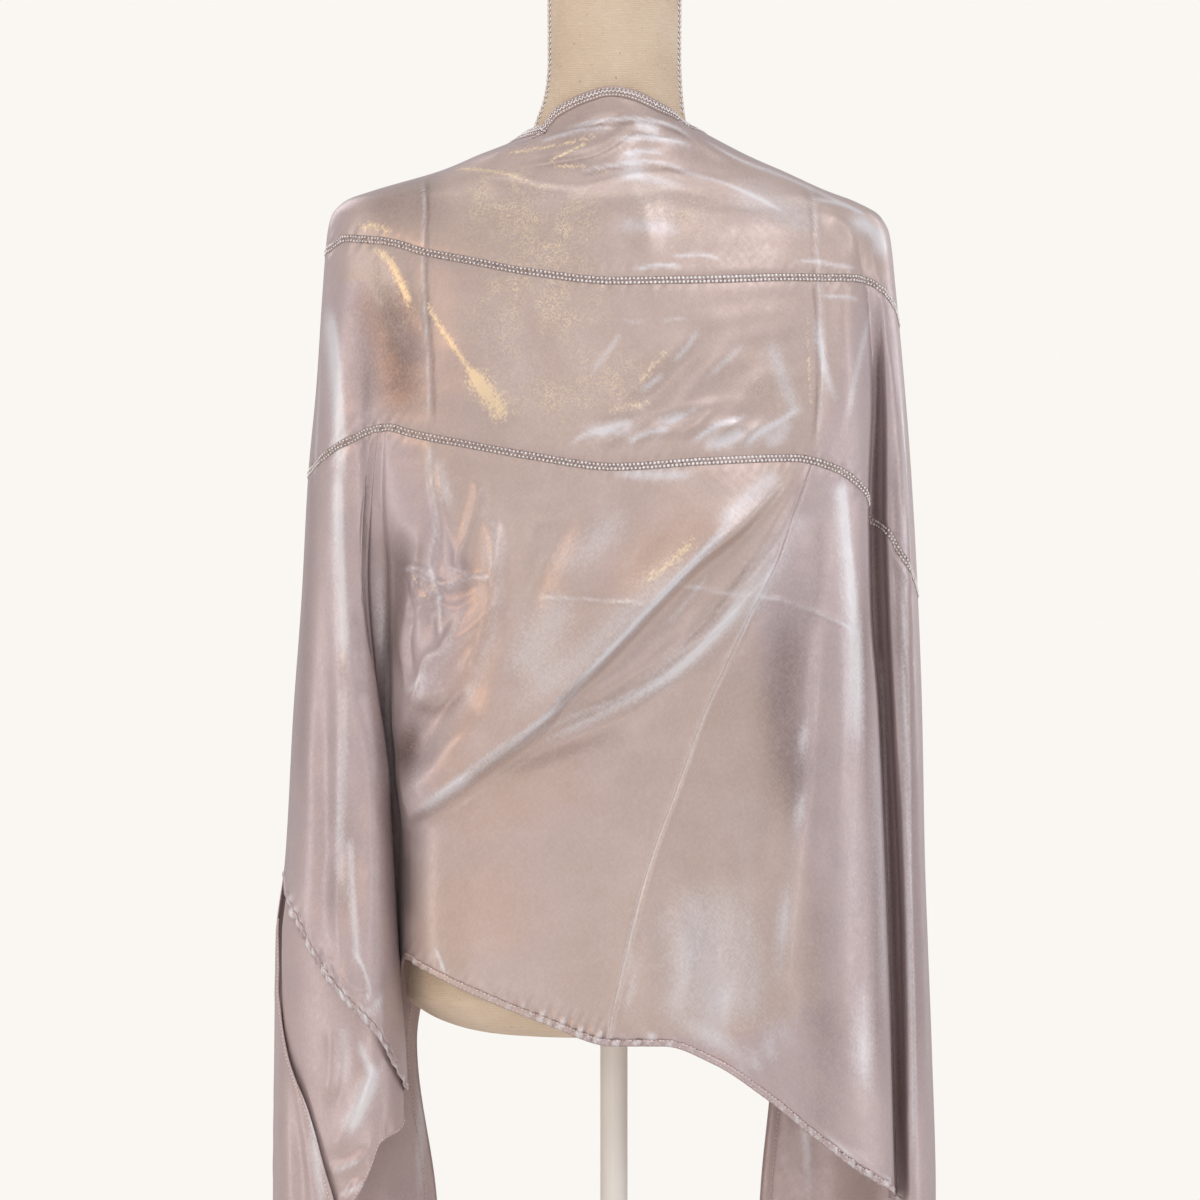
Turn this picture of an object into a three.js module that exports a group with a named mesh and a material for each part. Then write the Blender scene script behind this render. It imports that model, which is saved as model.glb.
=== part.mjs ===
// A long satin stole draped over the shoulders of a limbless dress form, seen from behind along +Y.
// Millimetres, +Z up. The origin is the centre of the underside of the stand's round base.
// Heights on the cloth and the form are given as drops below the nape, where the stole's top edge lies.
import * as THREE from 'three';

// Driving dimensions
const NAPE_HEIGHT = 965;
const CLOTH = 1.2;
const SEAM_GAP = 0.4;
const SQUARENESS = 2.3;
const STOLE_END = 905;
const TOP_HEM_WIDTH = 7;
const BOTTOM_HEM_WIDTH = 5;
const HEM_THICKNESS = 1.9;
const SEAM_WIDTH = 7;
const SEAM_THICKNESS = 0.8;
const POLE_RADIUS = 10;
const BASE_RADIUS = 155;
const BASE_THICKNESS = 9;
const FORM_FOOT = 692;
const FORM_DROP_CLEARANCE = 2.2;
const FORM_SIDE_CLEARANCE = 2.7;
const FORM_DEPTH_CLEARANCE = 4.3;
const NECK_TOP = -96;

// The outline of the worn cloth. left and right are the sides seen from behind, side is the depth of those
// outermost lines, back and front the depths on the centre line, inner the two front opening edges.
const OUTLINE = [
  { drop: -12, left: 58, right: 50, side: 2, back: -52, front: 30, innerLeft: 56, innerRight: 48 },
  { drop: 10, left: 61, right: 51, side: 1, back: -57, front: 40, innerLeft: 58, innerRight: 49 },
  { drop: 24, left: 63, right: 55, side: 0, back: -62, front: 48, innerLeft: 60, innerRight: 52 },
  { drop: 31, left: 66, right: 68, side: 0, back: -65, front: 54, innerLeft: 60, innerRight: 54 },
  { drop: 48, left: 103, right: 101, side: 0, back: -72, front: 64, innerLeft: 61, innerRight: 56 },
  { drop: 58, left: 127, right: 124, side: 0, back: -76, front: 69, innerLeft: 62, innerRight: 57 },
  { drop: 73, left: 178, right: 157, side: 0, back: -82, front: 77, innerLeft: 62, innerRight: 59 },
  { drop: 80, left: 197, right: 176, side: 0, back: -85, front: 81, innerLeft: 62, innerRight: 60 },
  { drop: 91, left: 207, right: 195, side: 1, back: -90, front: 88, innerLeft: 62, innerRight: 61 },
  { drop: 105, left: 210, right: 202, side: 2, back: -95, front: 95, innerLeft: 63, innerRight: 62 },
  { drop: 140, left: 213, right: 206, side: 4, back: -104, front: 112, innerLeft: 64, innerRight: 66 },
  { drop: 215, left: 218, right: 213, side: 6, back: -111, front: 135, innerLeft: 66, innerRight: 74 },
  { drop: 280, left: 224, right: 218, side: 8, back: -113, front: 142, innerLeft: 70, innerRight: 82 },
  { drop: 372, left: 229, right: 223, side: 8, back: -113, front: 141, innerLeft: 80, innerRight: 94 },
  { drop: 455, left: 235, right: 226, side: 8, back: -112, front: 136, innerLeft: 92, innerRight: 104 },
  { drop: 562, left: 241, right: 228, side: 8, back: -112, front: 130, innerLeft: 112, innerRight: 114 },
  { drop: 620, left: 248, right: 230, side: 8, back: -113, front: 127, innerLeft: 128, innerRight: 118 },
  { drop: 700, left: 249, right: 233, side: 8, back: -114, front: 124, innerLeft: 146, innerRight: 118 },
  { drop: 810, left: 250, right: 236, side: 8, back: -114, front: 120, innerLeft: 132, innerRight: 109 },
  { drop: 905, left: 247, right: 236, side: 8, back: -112, front: 118, innerLeft: 124, innerRight: 104 },
];

// The deep fold between the left tail and the back. edge is the tail's rolled side, floor the bottom of the
// fold, panel the side where the back comes out again. open grows from 0, no fold, to 1.
const LEFT_FOLD = [
  { drop: 235, open: 0, edge: -180, edgeDepth: -70, floor: -60, panel: -163, panelDepth: -76 },
  { drop: 300, open: 0.4, edge: -184, edgeDepth: -62, floor: -35, panel: -162, panelDepth: -70 },
  { drop: 350, open: 0.85, edge: -184, edgeDepth: -58, floor: -12, panel: -160, panelDepth: -62 },
  { drop: 441, open: 1, edge: -174, edgeDepth: -50, floor: -2, panel: -160, panelDepth: -52 },
  { drop: 533, open: 1, edge: -163, edgeDepth: -47, floor: -6, panel: -153, panelDepth: -50 },
  { drop: 615, open: 1, edge: -158, edgeDepth: -47, floor: -14, panel: -152, panelDepth: -54 },
  { drop: 730, open: 1, edge: -151, edgeDepth: -47, floor: -14, panel: -146, panelDepth: -58 },
  { drop: 905, open: 1, edge: -148, edgeDepth: -47, floor: -14, panel: -142, panelDepth: -58 },
];

// The groove on the right, between the back's folded side and the narrow right tail.
const RIGHT_FOLD = [
  { drop: 104, open: 0, edge: 190, floor: -40, tail: 199, tailDepth: -40 },
  { drop: 150, open: 0.35, edge: 192, floor: -36, tail: 199, tailDepth: -42 },
  { drop: 215, open: 0.75, edge: 189, floor: -28, tail: 197, tailDepth: -40 },
  { drop: 300, open: 1, edge: 185, floor: -20, tail: 197, tailDepth: -38 },
  { drop: 372, open: 1, edge: 186, floor: -16, tail: 199, tailDepth: -36 },
  { drop: 455, open: 1, edge: 192, floor: -14, tail: 203, tailDepth: -36 },
  { drop: 623, open: 1, edge: 199, floor: -14, tail: 210, tailDepth: -36 },
  { drop: 806, open: 1, edge: 204, floor: -14, tail: 213, tailDepth: -36 },
  { drop: 905, open: 1, edge: 206, floor: -14, tail: 214, tailDepth: -36 },
];

// Lines sewn across the back, by the station where they pass. Station 0 is the left side, 4 the left tail's
// rolled edge, 6 the bottom of the left fold, 14 the centre, 21 the back's right edge and 27 the right side.
const TOP_EDGE = [
  { at: 0, drop: 31 }, { at: 2, drop: 28 }, { at: 4, drop: 25 }, { at: 6, drop: 21 }, { at: 8, drop: 17 },
  { at: 9, drop: 13 }, { at: 10, drop: 8 }, { at: 11, drop: 4 }, { at: 12, drop: 1 }, { at: 13, drop: -1.5 },
  { at: 14, drop: -2 }, { at: 15, drop: -1 }, { at: 16, drop: 1 }, { at: 17, drop: 4.5 }, { at: 18, drop: 9 },
  { at: 19, drop: 13 }, { at: 21, drop: 17 }, { at: 24, drop: 21 }, { at: 27, drop: 24 },
];
const UPPER_SEAM = [
  { at: 0, drop: 118 }, { at: 1, drop: 115 }, { at: 2, drop: 108.5 }, { at: 4, drop: 111 },
  { at: 8, drop: 114 }, { at: 10, drop: 124 }, { at: 12, drop: 135 }, { at: 14, drop: 141 },
  { at: 16, drop: 140 }, { at: 18, drop: 138 }, { at: 21, drop: 139 }, { at: 23, drop: 140.5 },
  { at: 25, drop: 145 }, { at: 26, drop: 155 }, { at: 27, drop: 170 },
];
const LOWER_SEAM = [
  { at: 0, drop: 281 }, { at: 1, drop: 277 }, { at: 2, drop: 266 }, { at: 3, drop: 256 },
  { at: 4, drop: 249 }, { at: 8, drop: 247 }, { at: 10, drop: 257 }, { at: 12, drop: 268 },
  { at: 14, drop: 276 }, { at: 16, drop: 272 }, { at: 18, drop: 269.5 }, { at: 19, drop: 278 },
  { at: 20, drop: 291 }, { at: 21, drop: 300 }, { at: 23, drop: 314 }, { at: 25, drop: 323 },
  { at: 26, drop: 349 }, { at: 27, drop: 368 },
];
const HEM = [
  { at: 0, drop: 576 }, { at: 1, drop: 598 }, { at: 2, drop: 648 }, { at: 3, drop: 690 },
  { at: 4, drop: 730 }, { at: 5, drop: 724 }, { at: 6, drop: 695 }, { at: 7, drop: 655 },
  { at: 8, drop: 634 }, { at: 9, drop: 643 }, { at: 10, drop: 656 }, { at: 12, drop: 678 },
  { at: 14, drop: 695 }, { at: 15, drop: 695 }, { at: 16, drop: 708 }, { at: 17, drop: 732 },
  { at: 18, drop: 762 }, { at: 19, drop: 790 }, { at: 20, drop: 801 }, { at: 21, drop: 806 },
  { at: 23, drop: 812 }, { at: 25, drop: 826 }, { at: 26, drop: 845 }, { at: 27, drop: 860 },
];

// The slanting join of the two lower panels: the station it has reached at each drop.
const SLANTING_JOIN = [
  { drop: 265, at: 18.45 }, { drop: 343, at: 17.59 }, { drop: 369, at: 17.2 }, { drop: 412, at: 16.53 },
  { drop: 455, at: 15.91 }, { drop: 505, at: 15.36 }, { drop: 556, at: 14.8 }, { drop: 594, at: 14.48 },
  { drop: 635, at: 14.2 }, { drop: 710, at: 13.68 },
];

// The largest folds of the back: straight or slightly bowed ridges (or hollows, with a negative rise) from
// one end to the other, soft on their upper side by above and steeper on their lower side by below. They
// keep a little of their rise at their ends, and fade towards them.
const FOLD_END = 0.06;
const FOLD_FADE = 0.6;
const FOLDS = [
  { fromX: 140, fromDrop: 268, toX: -158, toDrop: 548, bow: -12, above: 44, below: 17, rise: 17 },
  { fromX: 150, fromDrop: 320, toX: -70, toDrop: 520, bow: -22, above: 22, below: 16, rise: 9 },
  { fromX: -138, fromDrop: 420, toX: -108, toDrop: 500, bow: 0, above: 24, below: 24, rise: -20 },
  { fromX: -92, fromDrop: 346, toX: -138, toDrop: 440, bow: 8, above: 17, below: 15, rise: 9 },
  { fromX: 158, fromDrop: 420, toX: 128, toDrop: 620, bow: 6, above: 16, below: 20, rise: 7 },
  { fromX: -70, fromDrop: 62, toX: 120, toDrop: 70, bow: 14, above: 16, below: 18, rise: 4 },
];

// The left tail's lower layers: how far the turned-back edge and the flap reach.
const TURNED_EDGE = [
  { drop: 606, at: 0.16 }, { drop: 640, at: 0.4 }, { drop: 700, at: 1 }, { drop: 737, at: 1.5 },
  { drop: 765, at: 1.75 }, { drop: 791, at: 1.95 }, { drop: 810, at: 2.1 }, { drop: 890, at: 2.4 },
];
const FLAP_HEM = [
  { at: 1.5, drop: 850 }, { at: 2, drop: 835 }, { at: 2.4, drop: 815 }, { at: 2.7, drop: 794 },
  { at: 3, drop: 768 }, { at: 3.6, drop: 757 }, { at: 3.95, drop: 737 },
];

// The padded form: half its width, and how far it reaches back and forward, below the shoulders.
const FORM = [
  { drop: 140, half: 187, back: -94, front: 98 },
  { drop: 180, half: 177, back: -98, front: 112 },
  { drop: 235, half: 163, back: -98, front: 122 },
  { drop: 300, half: 134, back: -88, front: 108 },
  { drop: 372, half: 107, back: -75, front: 88 },
  { drop: 450, half: 119, back: -84, front: 88 },
  { drop: 520, half: 136, back: -95, front: 92 },
  { drop: 600, half: 150, back: -102, front: 96 },
  { drop: 640, half: 153, back: -103, front: 97 },
  { drop: 662, half: 152, back: -100, front: 95 },
  { drop: 675, half: 137, back: -90, front: 86 },
  { drop: 684, half: 116, back: -77, front: 74 },
  { drop: 690, half: 88, back: -60, front: 58 },
];
const NECK_HALF_WIDTH = 49.5;
const NECK_BACK = -46;
const NECK_FRONT = 56;

// A smooth monotone curve through one column of a table, kept level beyond its ends.
function curve(table, key, column) {
  const xs = table.map((row) => row[key]);
  const ys = table.map((row) => row[column]);
  const slopes = xs.slice(1).map((x, i) => (ys[i + 1] - ys[i]) / (x - xs[i]));
  const tangents = ys.map((_, i) => {
    const before = slopes[i - 1];
    const after = slopes[i];
    if (before === undefined) return after;
    if (after === undefined) return before;
    return before * after <= 0 ? 0 : (2 * before * after) / (before + after);
  });
  return (x) => {
    if (x <= xs[0]) return ys[0];
    if (x >= xs[xs.length - 1]) return ys[ys.length - 1];
    const i = xs.findIndex((end) => end > x) - 1;
    const width = xs[i + 1] - xs[i];
    const t = (x - xs[i]) / width;
    const u = 1 - t;
    return ys[i] * u * u * (1 + 2 * t) + ys[i + 1] * t * t * (3 - 2 * t)
      + width * t * u * (tangents[i] * u - tangents[i + 1] * t);
  };
}

function columns(table, key) {
  const names = Object.keys(table[0]).filter((name) => name !== key);
  return Object.fromEntries(names.map((name) => [name, curve(table, key, name)]));
}

const mix = THREE.MathUtils.lerp;
const clamp = THREE.MathUtils.clamp;
const outline = columns(OUTLINE, 'drop');
const leftFold = columns(LEFT_FOLD, 'drop');
const rightFold = columns(RIGHT_FOLD, 'drop');
const formTable = columns(FORM, 'drop');
const topEdge = curve(TOP_EDGE, 'at', 'drop');
const upperSeam = curve(UPPER_SEAM, 'at', 'drop');
const lowerSeam = curve(LOWER_SEAM, 'at', 'drop');
const hem = curve(HEM, 'at', 'drop');
const slantingJoin = curve(SLANTING_JOIN, 'drop', 'at');
const turnedEdge = curve(TURNED_EDGE, 'drop', 'at');
const flapHem = curve(FLAP_HEM, 'at', 'drop');

// How round the plan of the cloth is: 0 on the outermost line, 1 on the centre line.
function roundness(share) {
  return (1 - Math.min(1, share) ** SQUARENESS) ** (1 / SQUARENESS);
}

function backDepth(x, drop) {
  const half = x < 0 ? outline.left(drop) : outline.right(drop);
  const side = outline.side(drop);
  return side + (outline.back(drop) - side) * roundness(Math.abs(x) / half);
}

// Shares of the half width where the stations lie while the side folds are closed.
const LEFT_SHARES = [1, 0.985, 0.93, 0.87, 0.8, 0.785, 0.77, 0.755, 0.74, 0.68];
const CENTRE_SHARES = [0.8, 0.6, 0.4, 0.2, 0, -0.2, -0.4, -0.6, -0.8];
const RIGHT_SHARES = [0.78, 0.84, 0.86, 0.875, 0.89, 0.905, 0.92, 0.97, 1];

// How near the depth of its floor a fold's cloth lies beside the floor, and how far past the fold the back
// takes up its own depth.
const NEAR_FLOOR = 0.8;
const SHOULDER = 17;

function leftStations(drop) {
  const half = outline.left(drop);
  const open = leftFold.open(drop);
  const edge = leftFold.edge(drop);
  const edgeDepth = leftFold.edgeDepth(drop);
  const floor = leftFold.floor(drop);
  const panel = leftFold.panel(drop);
  const panelDepth = leftFold.panelDepth(drop);
  const width = edge + half;
  const onTail = (share, inward) => {
    const x = -half + share * width;
    return [x, backDepth(x, drop) + inward];
  };
  const folded = [
    onTail(0, 0), onTail(0.1, 0), onTail(0.42, 6), onTail(0.8, 12),
    [edge, edgeDepth],
    [edge - 6, mix(edgeDepth, floor, NEAR_FLOOR)],
    [mix(edge, panel, 0.25) - 2, floor],
    [panel - 5, mix(panelDepth, floor, NEAR_FLOOR)],
    [panel, panelDepth],
    [panel + SHOULDER, mix(panelDepth, backDepth(panel + SHOULDER, drop), NEAR_FLOOR)],
  ];
  return LEFT_SHARES.map((share, i) => {
    const x = -share * half;
    const flat = [x, backDepth(x, drop)];
    return [mix(flat[0], folded[i][0], open), mix(flat[1], folded[i][1], open)];
  });
}

function rightStations(drop) {
  const half = outline.right(drop);
  const open = rightFold.open(drop);
  const edge = rightFold.edge(drop);
  const floor = rightFold.floor(drop);
  const tail = rightFold.tail(drop);
  const tailDepth = rightFold.tailDepth(drop);
  const edgeDepth = backDepth(edge, drop) + 10;
  const folded = [
    [edge - 22, backDepth(edge - 22, drop)],
    [edge - 4, backDepth(edge - 4, drop) + 2],
    [edge, edgeDepth],
    [edge - 3, mix(edgeDepth, floor, NEAR_FLOOR)],
    [edge + 3, floor],
    [tail - 1, mix(tailDepth, floor, 0.65)],
    [tail + 3, tailDepth],
    [mix(tail, half, 0.7), tailDepth + 9],
    [half, outline.side(drop)],
  ];
  return RIGHT_SHARES.map((share, i) => {
    const x = share * half;
    const flat = [x, backDepth(x, drop)];
    return [mix(flat[0], folded[i][0], open), mix(flat[1], folded[i][1], open)];
  });
}

function stations(drop) {
  const left = leftStations(drop);
  const right = rightStations(drop);
  const centre = CENTRE_SHARES.map((share) => {
    const x = share > 0 ? share * left[left.length - 1][0] : -share * right[0][0];
    return [x, backDepth(x, drop)];
  });
  return [...left, ...centre, ...right].map(([x, y]) => new THREE.Vector3(x, y, 0));
}

const planCache = new Map();
function plan(drop) {
  const key = drop.toFixed(4);
  if (!planCache.has(key)) {
    planCache.set(key, new THREE.CatmullRomCurve3(stations(drop), false, 'centripetal'));
  }
  return planCache.get(key);
}
const LAST_STATION = LEFT_SHARES.length + CENTRE_SHARES.length + RIGHT_SHARES.length - 1;
const FIRST_FLAT = 8;
const LAST_FLAT = 20;
const RELIEF_FADE = 1.5;

// How far the folds raise the cloth towards the viewer at a place on the back.
function relief(x, drop) {
  return FOLDS.reduce((sum, fold) => {
    const spanX = fold.toX - fold.fromX;
    const spanDrop = fold.toDrop - fold.fromDrop;
    const length = Math.hypot(spanX, spanDrop);
    const along = ((x - fold.fromX) * spanX + (drop - fold.fromDrop) * spanDrop) / length ** 2;
    const share = clamp(along, 0, 1);
    const normalX = spanDrop / length;
    const normalDrop = -spanX / length;
    const bowed = fold.bow * 4 * share * (1 - share);
    const offX = x - fold.fromX - share * spanX - bowed * normalX;
    const offDrop = drop - fold.fromDrop - share * spanDrop - bowed * normalDrop;
    const distance = Math.hypot(offX, offDrop);
    const width = offX * normalX + offDrop * normalDrop < 0 ? fold.above : fold.below;
    const fade = Math.sin(Math.PI * mix(FOLD_END, 1 - FOLD_END, share)) ** FOLD_FADE;
    return sum + fold.rise * fade * Math.exp(-((distance / width) ** 2));
  }, 0);
}

function nearCloth(station, drop) {
  const point = plan(drop).getPoint(clamp(station / LAST_STATION, 0, 1));
  const inside = THREE.MathUtils.smoothstep(station, FIRST_FLAT, FIRST_FLAT + RELIEF_FADE)
    * (1 - THREE.MathUtils.smoothstep(station, LAST_FLAT - RELIEF_FADE, LAST_FLAT));
  const raised = inside * relief(point.x, drop);
  return new THREE.Vector3(point.x, point.y - raised, NAPE_HEIGHT - drop);
}

// The front faces run from the outermost line, share 0, to the opening edge, share 1, with soft flutes.
const FRONT = {
  left: { sign: -1, half: outline.left, inner: outline.innerLeft, flutes: 2.4, depth: 8 },
  right: { sign: 1, half: outline.right, inner: outline.innerRight, flutes: 2.9, depth: 3.5 },
};
const FLUTES_START = 120;
const FLUTES_FULL = 600;
const FLUTE_FADE = 1.3;
const FLUTE_PHASE = 0.6;
function frontCloth(side, share, drop) {
  const { sign, half, inner, flutes, depth } = FRONT[side];
  const limit = Math.acos(Math.min(1, inner(drop) / half(drop)) ** (SQUARENESS / 2));
  const angle = share * limit;
  const fade = Math.sin(Math.PI * clamp(share, 0, 1)) ** FLUTE_FADE;
  const wave = Math.sin(2 * Math.PI * flutes * share + FLUTE_PHASE);
  const flute = depth * THREE.MathUtils.smoothstep(drop, FLUTES_START, FLUTES_FULL) * fade * wave;
  const x = half(drop) * Math.cos(angle) ** (2 / SQUARENESS);
  const rise = Math.max(0, Math.sin(angle)) ** (2 / SQUARENESS);
  const y = mix(outline.side(drop), outline.front(drop), rise) + flute;
  return new THREE.Vector3(sign * x, y, NAPE_HEIGHT - drop);
}

// The slanting join keeps one column of the lower panels' grid, and the columns beside it lean with it.
const PANEL_LEFT = 8;
const PANEL_RIGHT = 21;
const JOIN_COLUMN = 18.45;
function leaned(column, drop) {
  if (column <= PANEL_LEFT || column >= PANEL_RIGHT) return column;
  const join = slantingJoin(drop);
  if (column <= JOIN_COLUMN) {
    return mix(PANEL_LEFT, join, (column - PANEL_LEFT) / (JOIN_COLUMN - PANEL_LEFT));
  }
  return mix(join, PANEL_RIGHT, (column - JOIN_COLUMN) / (PANEL_RIGHT - JOIN_COLUMN));
}

// Finds where a column of the leaning grid meets a line across it, by a few turns of trial.
const TRIAL_TURNS = 14;
function onColumn(column, lineAt) {
  let drop = lineAt(column);
  let station = column;
  for (let turn = 0; turn < TRIAL_TURNS; turn += 1) {
    station = leaned(column, drop);
    drop = lineAt(station);
  }
  return nearCloth(station, drop);
}

// A measure across a sewn line, as the drop it takes where the line runs at a slope.
const SLOPE_REACH = 0.1;
const STEEPEST = 2.5;
function across(line, station, measure) {
  const before = clamp(station - SLOPE_REACH, 0, LAST_STATION);
  const after = clamp(station + SLOPE_REACH, 0, LAST_STATION);
  const a = nearCloth(before, line(before));
  const b = nearCloth(after, line(after));
  const level = Math.hypot(b.x - a.x, b.y - a.y);
  return measure * Math.min(STEEPEST, Math.hypot(level, b.z - a.z) / level);
}

// A wall of the given thickness on a surface over the given columns and rows, closed at its rims, and moved
// towards the viewer by lift.
const SLOPE_STEP = 1e-3;
function slopeNormal(surface, u, v) {
  const alongU = surface(u + SLOPE_STEP, v).sub(surface(u - SLOPE_STEP, v));
  const alongV = surface(u, v + SLOPE_STEP).sub(surface(u, v - SLOPE_STEP));
  return alongU.cross(alongV).normalize();
}

function wall(columns, rows, thickness, surface, lift = 0) {
  const outer = [];
  const inner = [];
  for (const v of rows) {
    for (const u of columns) {
      const point = surface(u, v);
      const normal = slopeNormal(surface, u, v);
      outer.push(point.clone().addScaledVector(normal, -lift - thickness / 2));
      inner.push(point.clone().addScaledVector(normal, -lift + thickness / 2));
    }
  }
  const back = outer.length;
  const wide = columns.length - 1;
  const deep = rows.length - 1;
  const at = (i, j) => j * columns.length + i;
  const faces = [];
  const quad = (a, b, c, d) => faces.push(a, b, c, a, c, d);
  for (let j = 0; j < deep; j += 1) {
    for (let i = 0; i < wide; i += 1) {
      quad(at(i, j), at(i, j + 1), at(i + 1, j + 1), at(i + 1, j));
      quad(back + at(i, j), back + at(i + 1, j), back + at(i + 1, j + 1), back + at(i, j + 1));
    }
    quad(at(0, j + 1), at(0, j), back + at(0, j), back + at(0, j + 1));
    quad(at(wide, j), at(wide, j + 1), back + at(wide, j + 1), back + at(wide, j));
  }
  for (let i = 0; i < wide; i += 1) {
    quad(at(i, 0), at(i + 1, 0), back + at(i + 1, 0), back + at(i, 0));
    quad(at(i + 1, deep), at(i, deep), back + at(i, deep), back + at(i + 1, deep));
  }
  return solid([...outer, ...inner], faces);
}

function solid(points, faces) {
  const geometry = new THREE.BufferGeometry();
  const places = points.flatMap((point) => [point.x, point.y, point.z]);
  geometry.setAttribute('position', new THREE.Float32BufferAttribute(places, 3));
  geometry.setIndex(faces);
  geometry.computeVertexNormals();
  return geometry;
}

// The grid's columns, closer together where the cloth is rolled, and evenly spaced rows.
const COLUMNS = [
  0, 0.5, 1, 1.5, 2, 3, 3.5, 4, 4.5, 5, 5.5, 6, 6.5, 7, 7.5, 8, 8.5, 9, 10, 11, 12, 13, 14, 15, 16, 17, 18,
  JOIN_COLUMN, 19, 20, 20.5, 21, 21.5, 22, 22.5, 23, 23.5, 24, 25, 25.5, 26, 26.5, LAST_STATION,
];
function columnsBetween(from, to) {
  return [from, ...COLUMNS.filter((column) => column > from + 0.1 && column < to - 0.1), to];
}
function evenly(count) {
  return Array.from({ length: count + 1 }, (_, i) => i / count);
}

// A stretch of the back between two lines sewn across it.
function between(top, bottom) {
  return (column, v) => onColumn(column, (station) => mix(top(station), bottom(station), v));
}

// A closed body through rings, each a level outline of the form.
const RING_SEGMENTS = 32;
function loft(rings) {
  const reach = (value) => Math.sign(value) * Math.abs(value) ** (2 / SQUARENESS);
  const angles = evenly(RING_SEGMENTS).slice(1).map((turn) => 2 * Math.PI * turn);
  const ringPoint = ({ drop, half, back, front, side }, angle) => {
    const depth = reach(Math.sin(angle));
    const y = side + depth * (depth > 0 ? front - side : side - back);
    return new THREE.Vector3(half * reach(Math.cos(angle)), y, NAPE_HEIGHT - drop);
  };
  const points = rings.flatMap((ring) => angles.map((angle) => ringPoint(ring, angle)));
  const centre = ({ drop, back, front }) => new THREE.Vector3(0, (back + front) / 2, NAPE_HEIGHT - drop);
  const top = points.push(centre(rings[0])) - 1;
  const bottom = points.push(centre(rings[rings.length - 1])) - 1;
  const faces = [];
  for (let i = 0; i < RING_SEGMENTS; i += 1) {
    const next = (i + 1) % RING_SEGMENTS;
    for (let ring = 0; ring < rings.length - 1; ring += 1) {
      const upper = ring * RING_SEGMENTS;
      const lower = upper + RING_SEGMENTS;
      faces.push(upper + i, lower + i, lower + next, upper + i, lower + next, upper + next);
    }
    const last = (rings.length - 1) * RING_SEGMENTS;
    faces.push(top, i, next, bottom, last + next, last + i);
  }
  return solid(points, faces);
}

function turned(profile, segments) {
  const geometry = new THREE.LatheGeometry(profile.map(([r, z]) => new THREE.Vector2(r, z)), segments);
  geometry.rotateX(Math.PI / 2);
  return geometry;
}

const LOOKS = {
  satin: { color: 0xb5a49d, roughness: 0.32, metalness: 0.55 },
  thread: { color: 0xd9d2cf, roughness: 0.4, metalness: 0.4 },
  linen: { color: 0xd2c4ac, roughness: 0.9, metalness: 0 },
  paint: { color: 0xf1ede6, roughness: 0.5, metalness: 0 },
};
const group = new THREE.Group();
function add(name, look, geometry) {
  const mesh = new THREE.Mesh(geometry, new THREE.MeshStandardMaterial(LOOKS[look]));
  mesh.name = name;
  group.add(mesh);
}

// Back panels, and the back faces of both tails
const HALF_GAP = 0.6 * SEAM_GAP;
const underTopHem = (s) => topEdge(s) + TOP_HEM_WIDTH + SEAM_GAP;
const aboveUpperSeam = (s) => upperSeam(s) - across(upperSeam, s, HALF_GAP);
const underUpperSeam = (s) => upperSeam(s) + across(upperSeam, s, HALF_GAP);
const aboveLowerSeam = (s) => lowerSeam(s) - across(lowerSeam, s, HALF_GAP);
const underLowerSeam = (s) => lowerSeam(s) + across(lowerSeam, s, 1.5 * HALF_GAP);
const hemTop = (s) => hem(s) - across(hem, s, BOTTOM_HEM_WIDTH);
const aboveHem = (s) => hemTop(s) - across(hem, s, 1.2 * SEAM_GAP);
const LEFT_FLOOR = 6;
const RIGHT_FLOOR = 23;
const FLOOR_GAP = 0.16;
const JOIN_GAP = 0.02;
const LOWER_ROWS = evenly(14);
const lowerCloth = between(underLowerSeam, aboveHem);
add('back_upper_panel', 'satin',
  wall(COLUMNS, evenly(9), CLOTH, between(underTopHem, aboveUpperSeam)));
add('back_middle_panel', 'satin',
  wall(COLUMNS, evenly(6), CLOTH, between(underUpperSeam, aboveLowerSeam)));
add('left_tail_back', 'satin', wall(columnsBetween(0, LEFT_FLOOR), LOWER_ROWS, CLOTH, lowerCloth));
add('back_lower_left_panel', 'satin',
  wall(columnsBetween(LEFT_FLOOR + FLOOR_GAP, JOIN_COLUMN - JOIN_GAP), LOWER_ROWS, CLOTH, lowerCloth));
add('back_lower_right_panel', 'satin',
  wall(columnsBetween(JOIN_COLUMN + JOIN_GAP, RIGHT_FLOOR), LOWER_ROWS, CLOTH, lowerCloth));
add('right_tail_back', 'satin',
  wall(columnsBetween(RIGHT_FLOOR + FLOOR_GAP, LAST_STATION), LOWER_ROWS, CLOTH, lowerCloth));

// Hems, and the serged seams that lie on the panels' outer face
const LIFT = CLOTH / 2 + 1.4 * SEAM_GAP + SEAM_THICKNESS / 2;
const SEAM_HALF = SEAM_WIDTH / 2;
const seamStrip = (line) => between(
  (s) => line(s) - across(line, s, SEAM_HALF),
  (s) => line(s) + across(line, s, SEAM_HALF),
);
add('top_hem', 'satin',
  wall(COLUMNS, [0, 1], HEM_THICKNESS, between(topEdge, (s) => topEdge(s) + TOP_HEM_WIDTH)));
add('bottom_hem', 'satin', wall(COLUMNS, [0, 1], HEM_THICKNESS, between(hemTop, hem)));
add('upper_serged_seam', 'thread', wall(COLUMNS, [0, 1], SEAM_THICKNESS, seamStrip(upperSeam), LIFT));
add('lower_serged_seam', 'thread', wall(COLUMNS, [0, 1], SEAM_THICKNESS, seamStrip(lowerSeam), LIFT));

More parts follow.
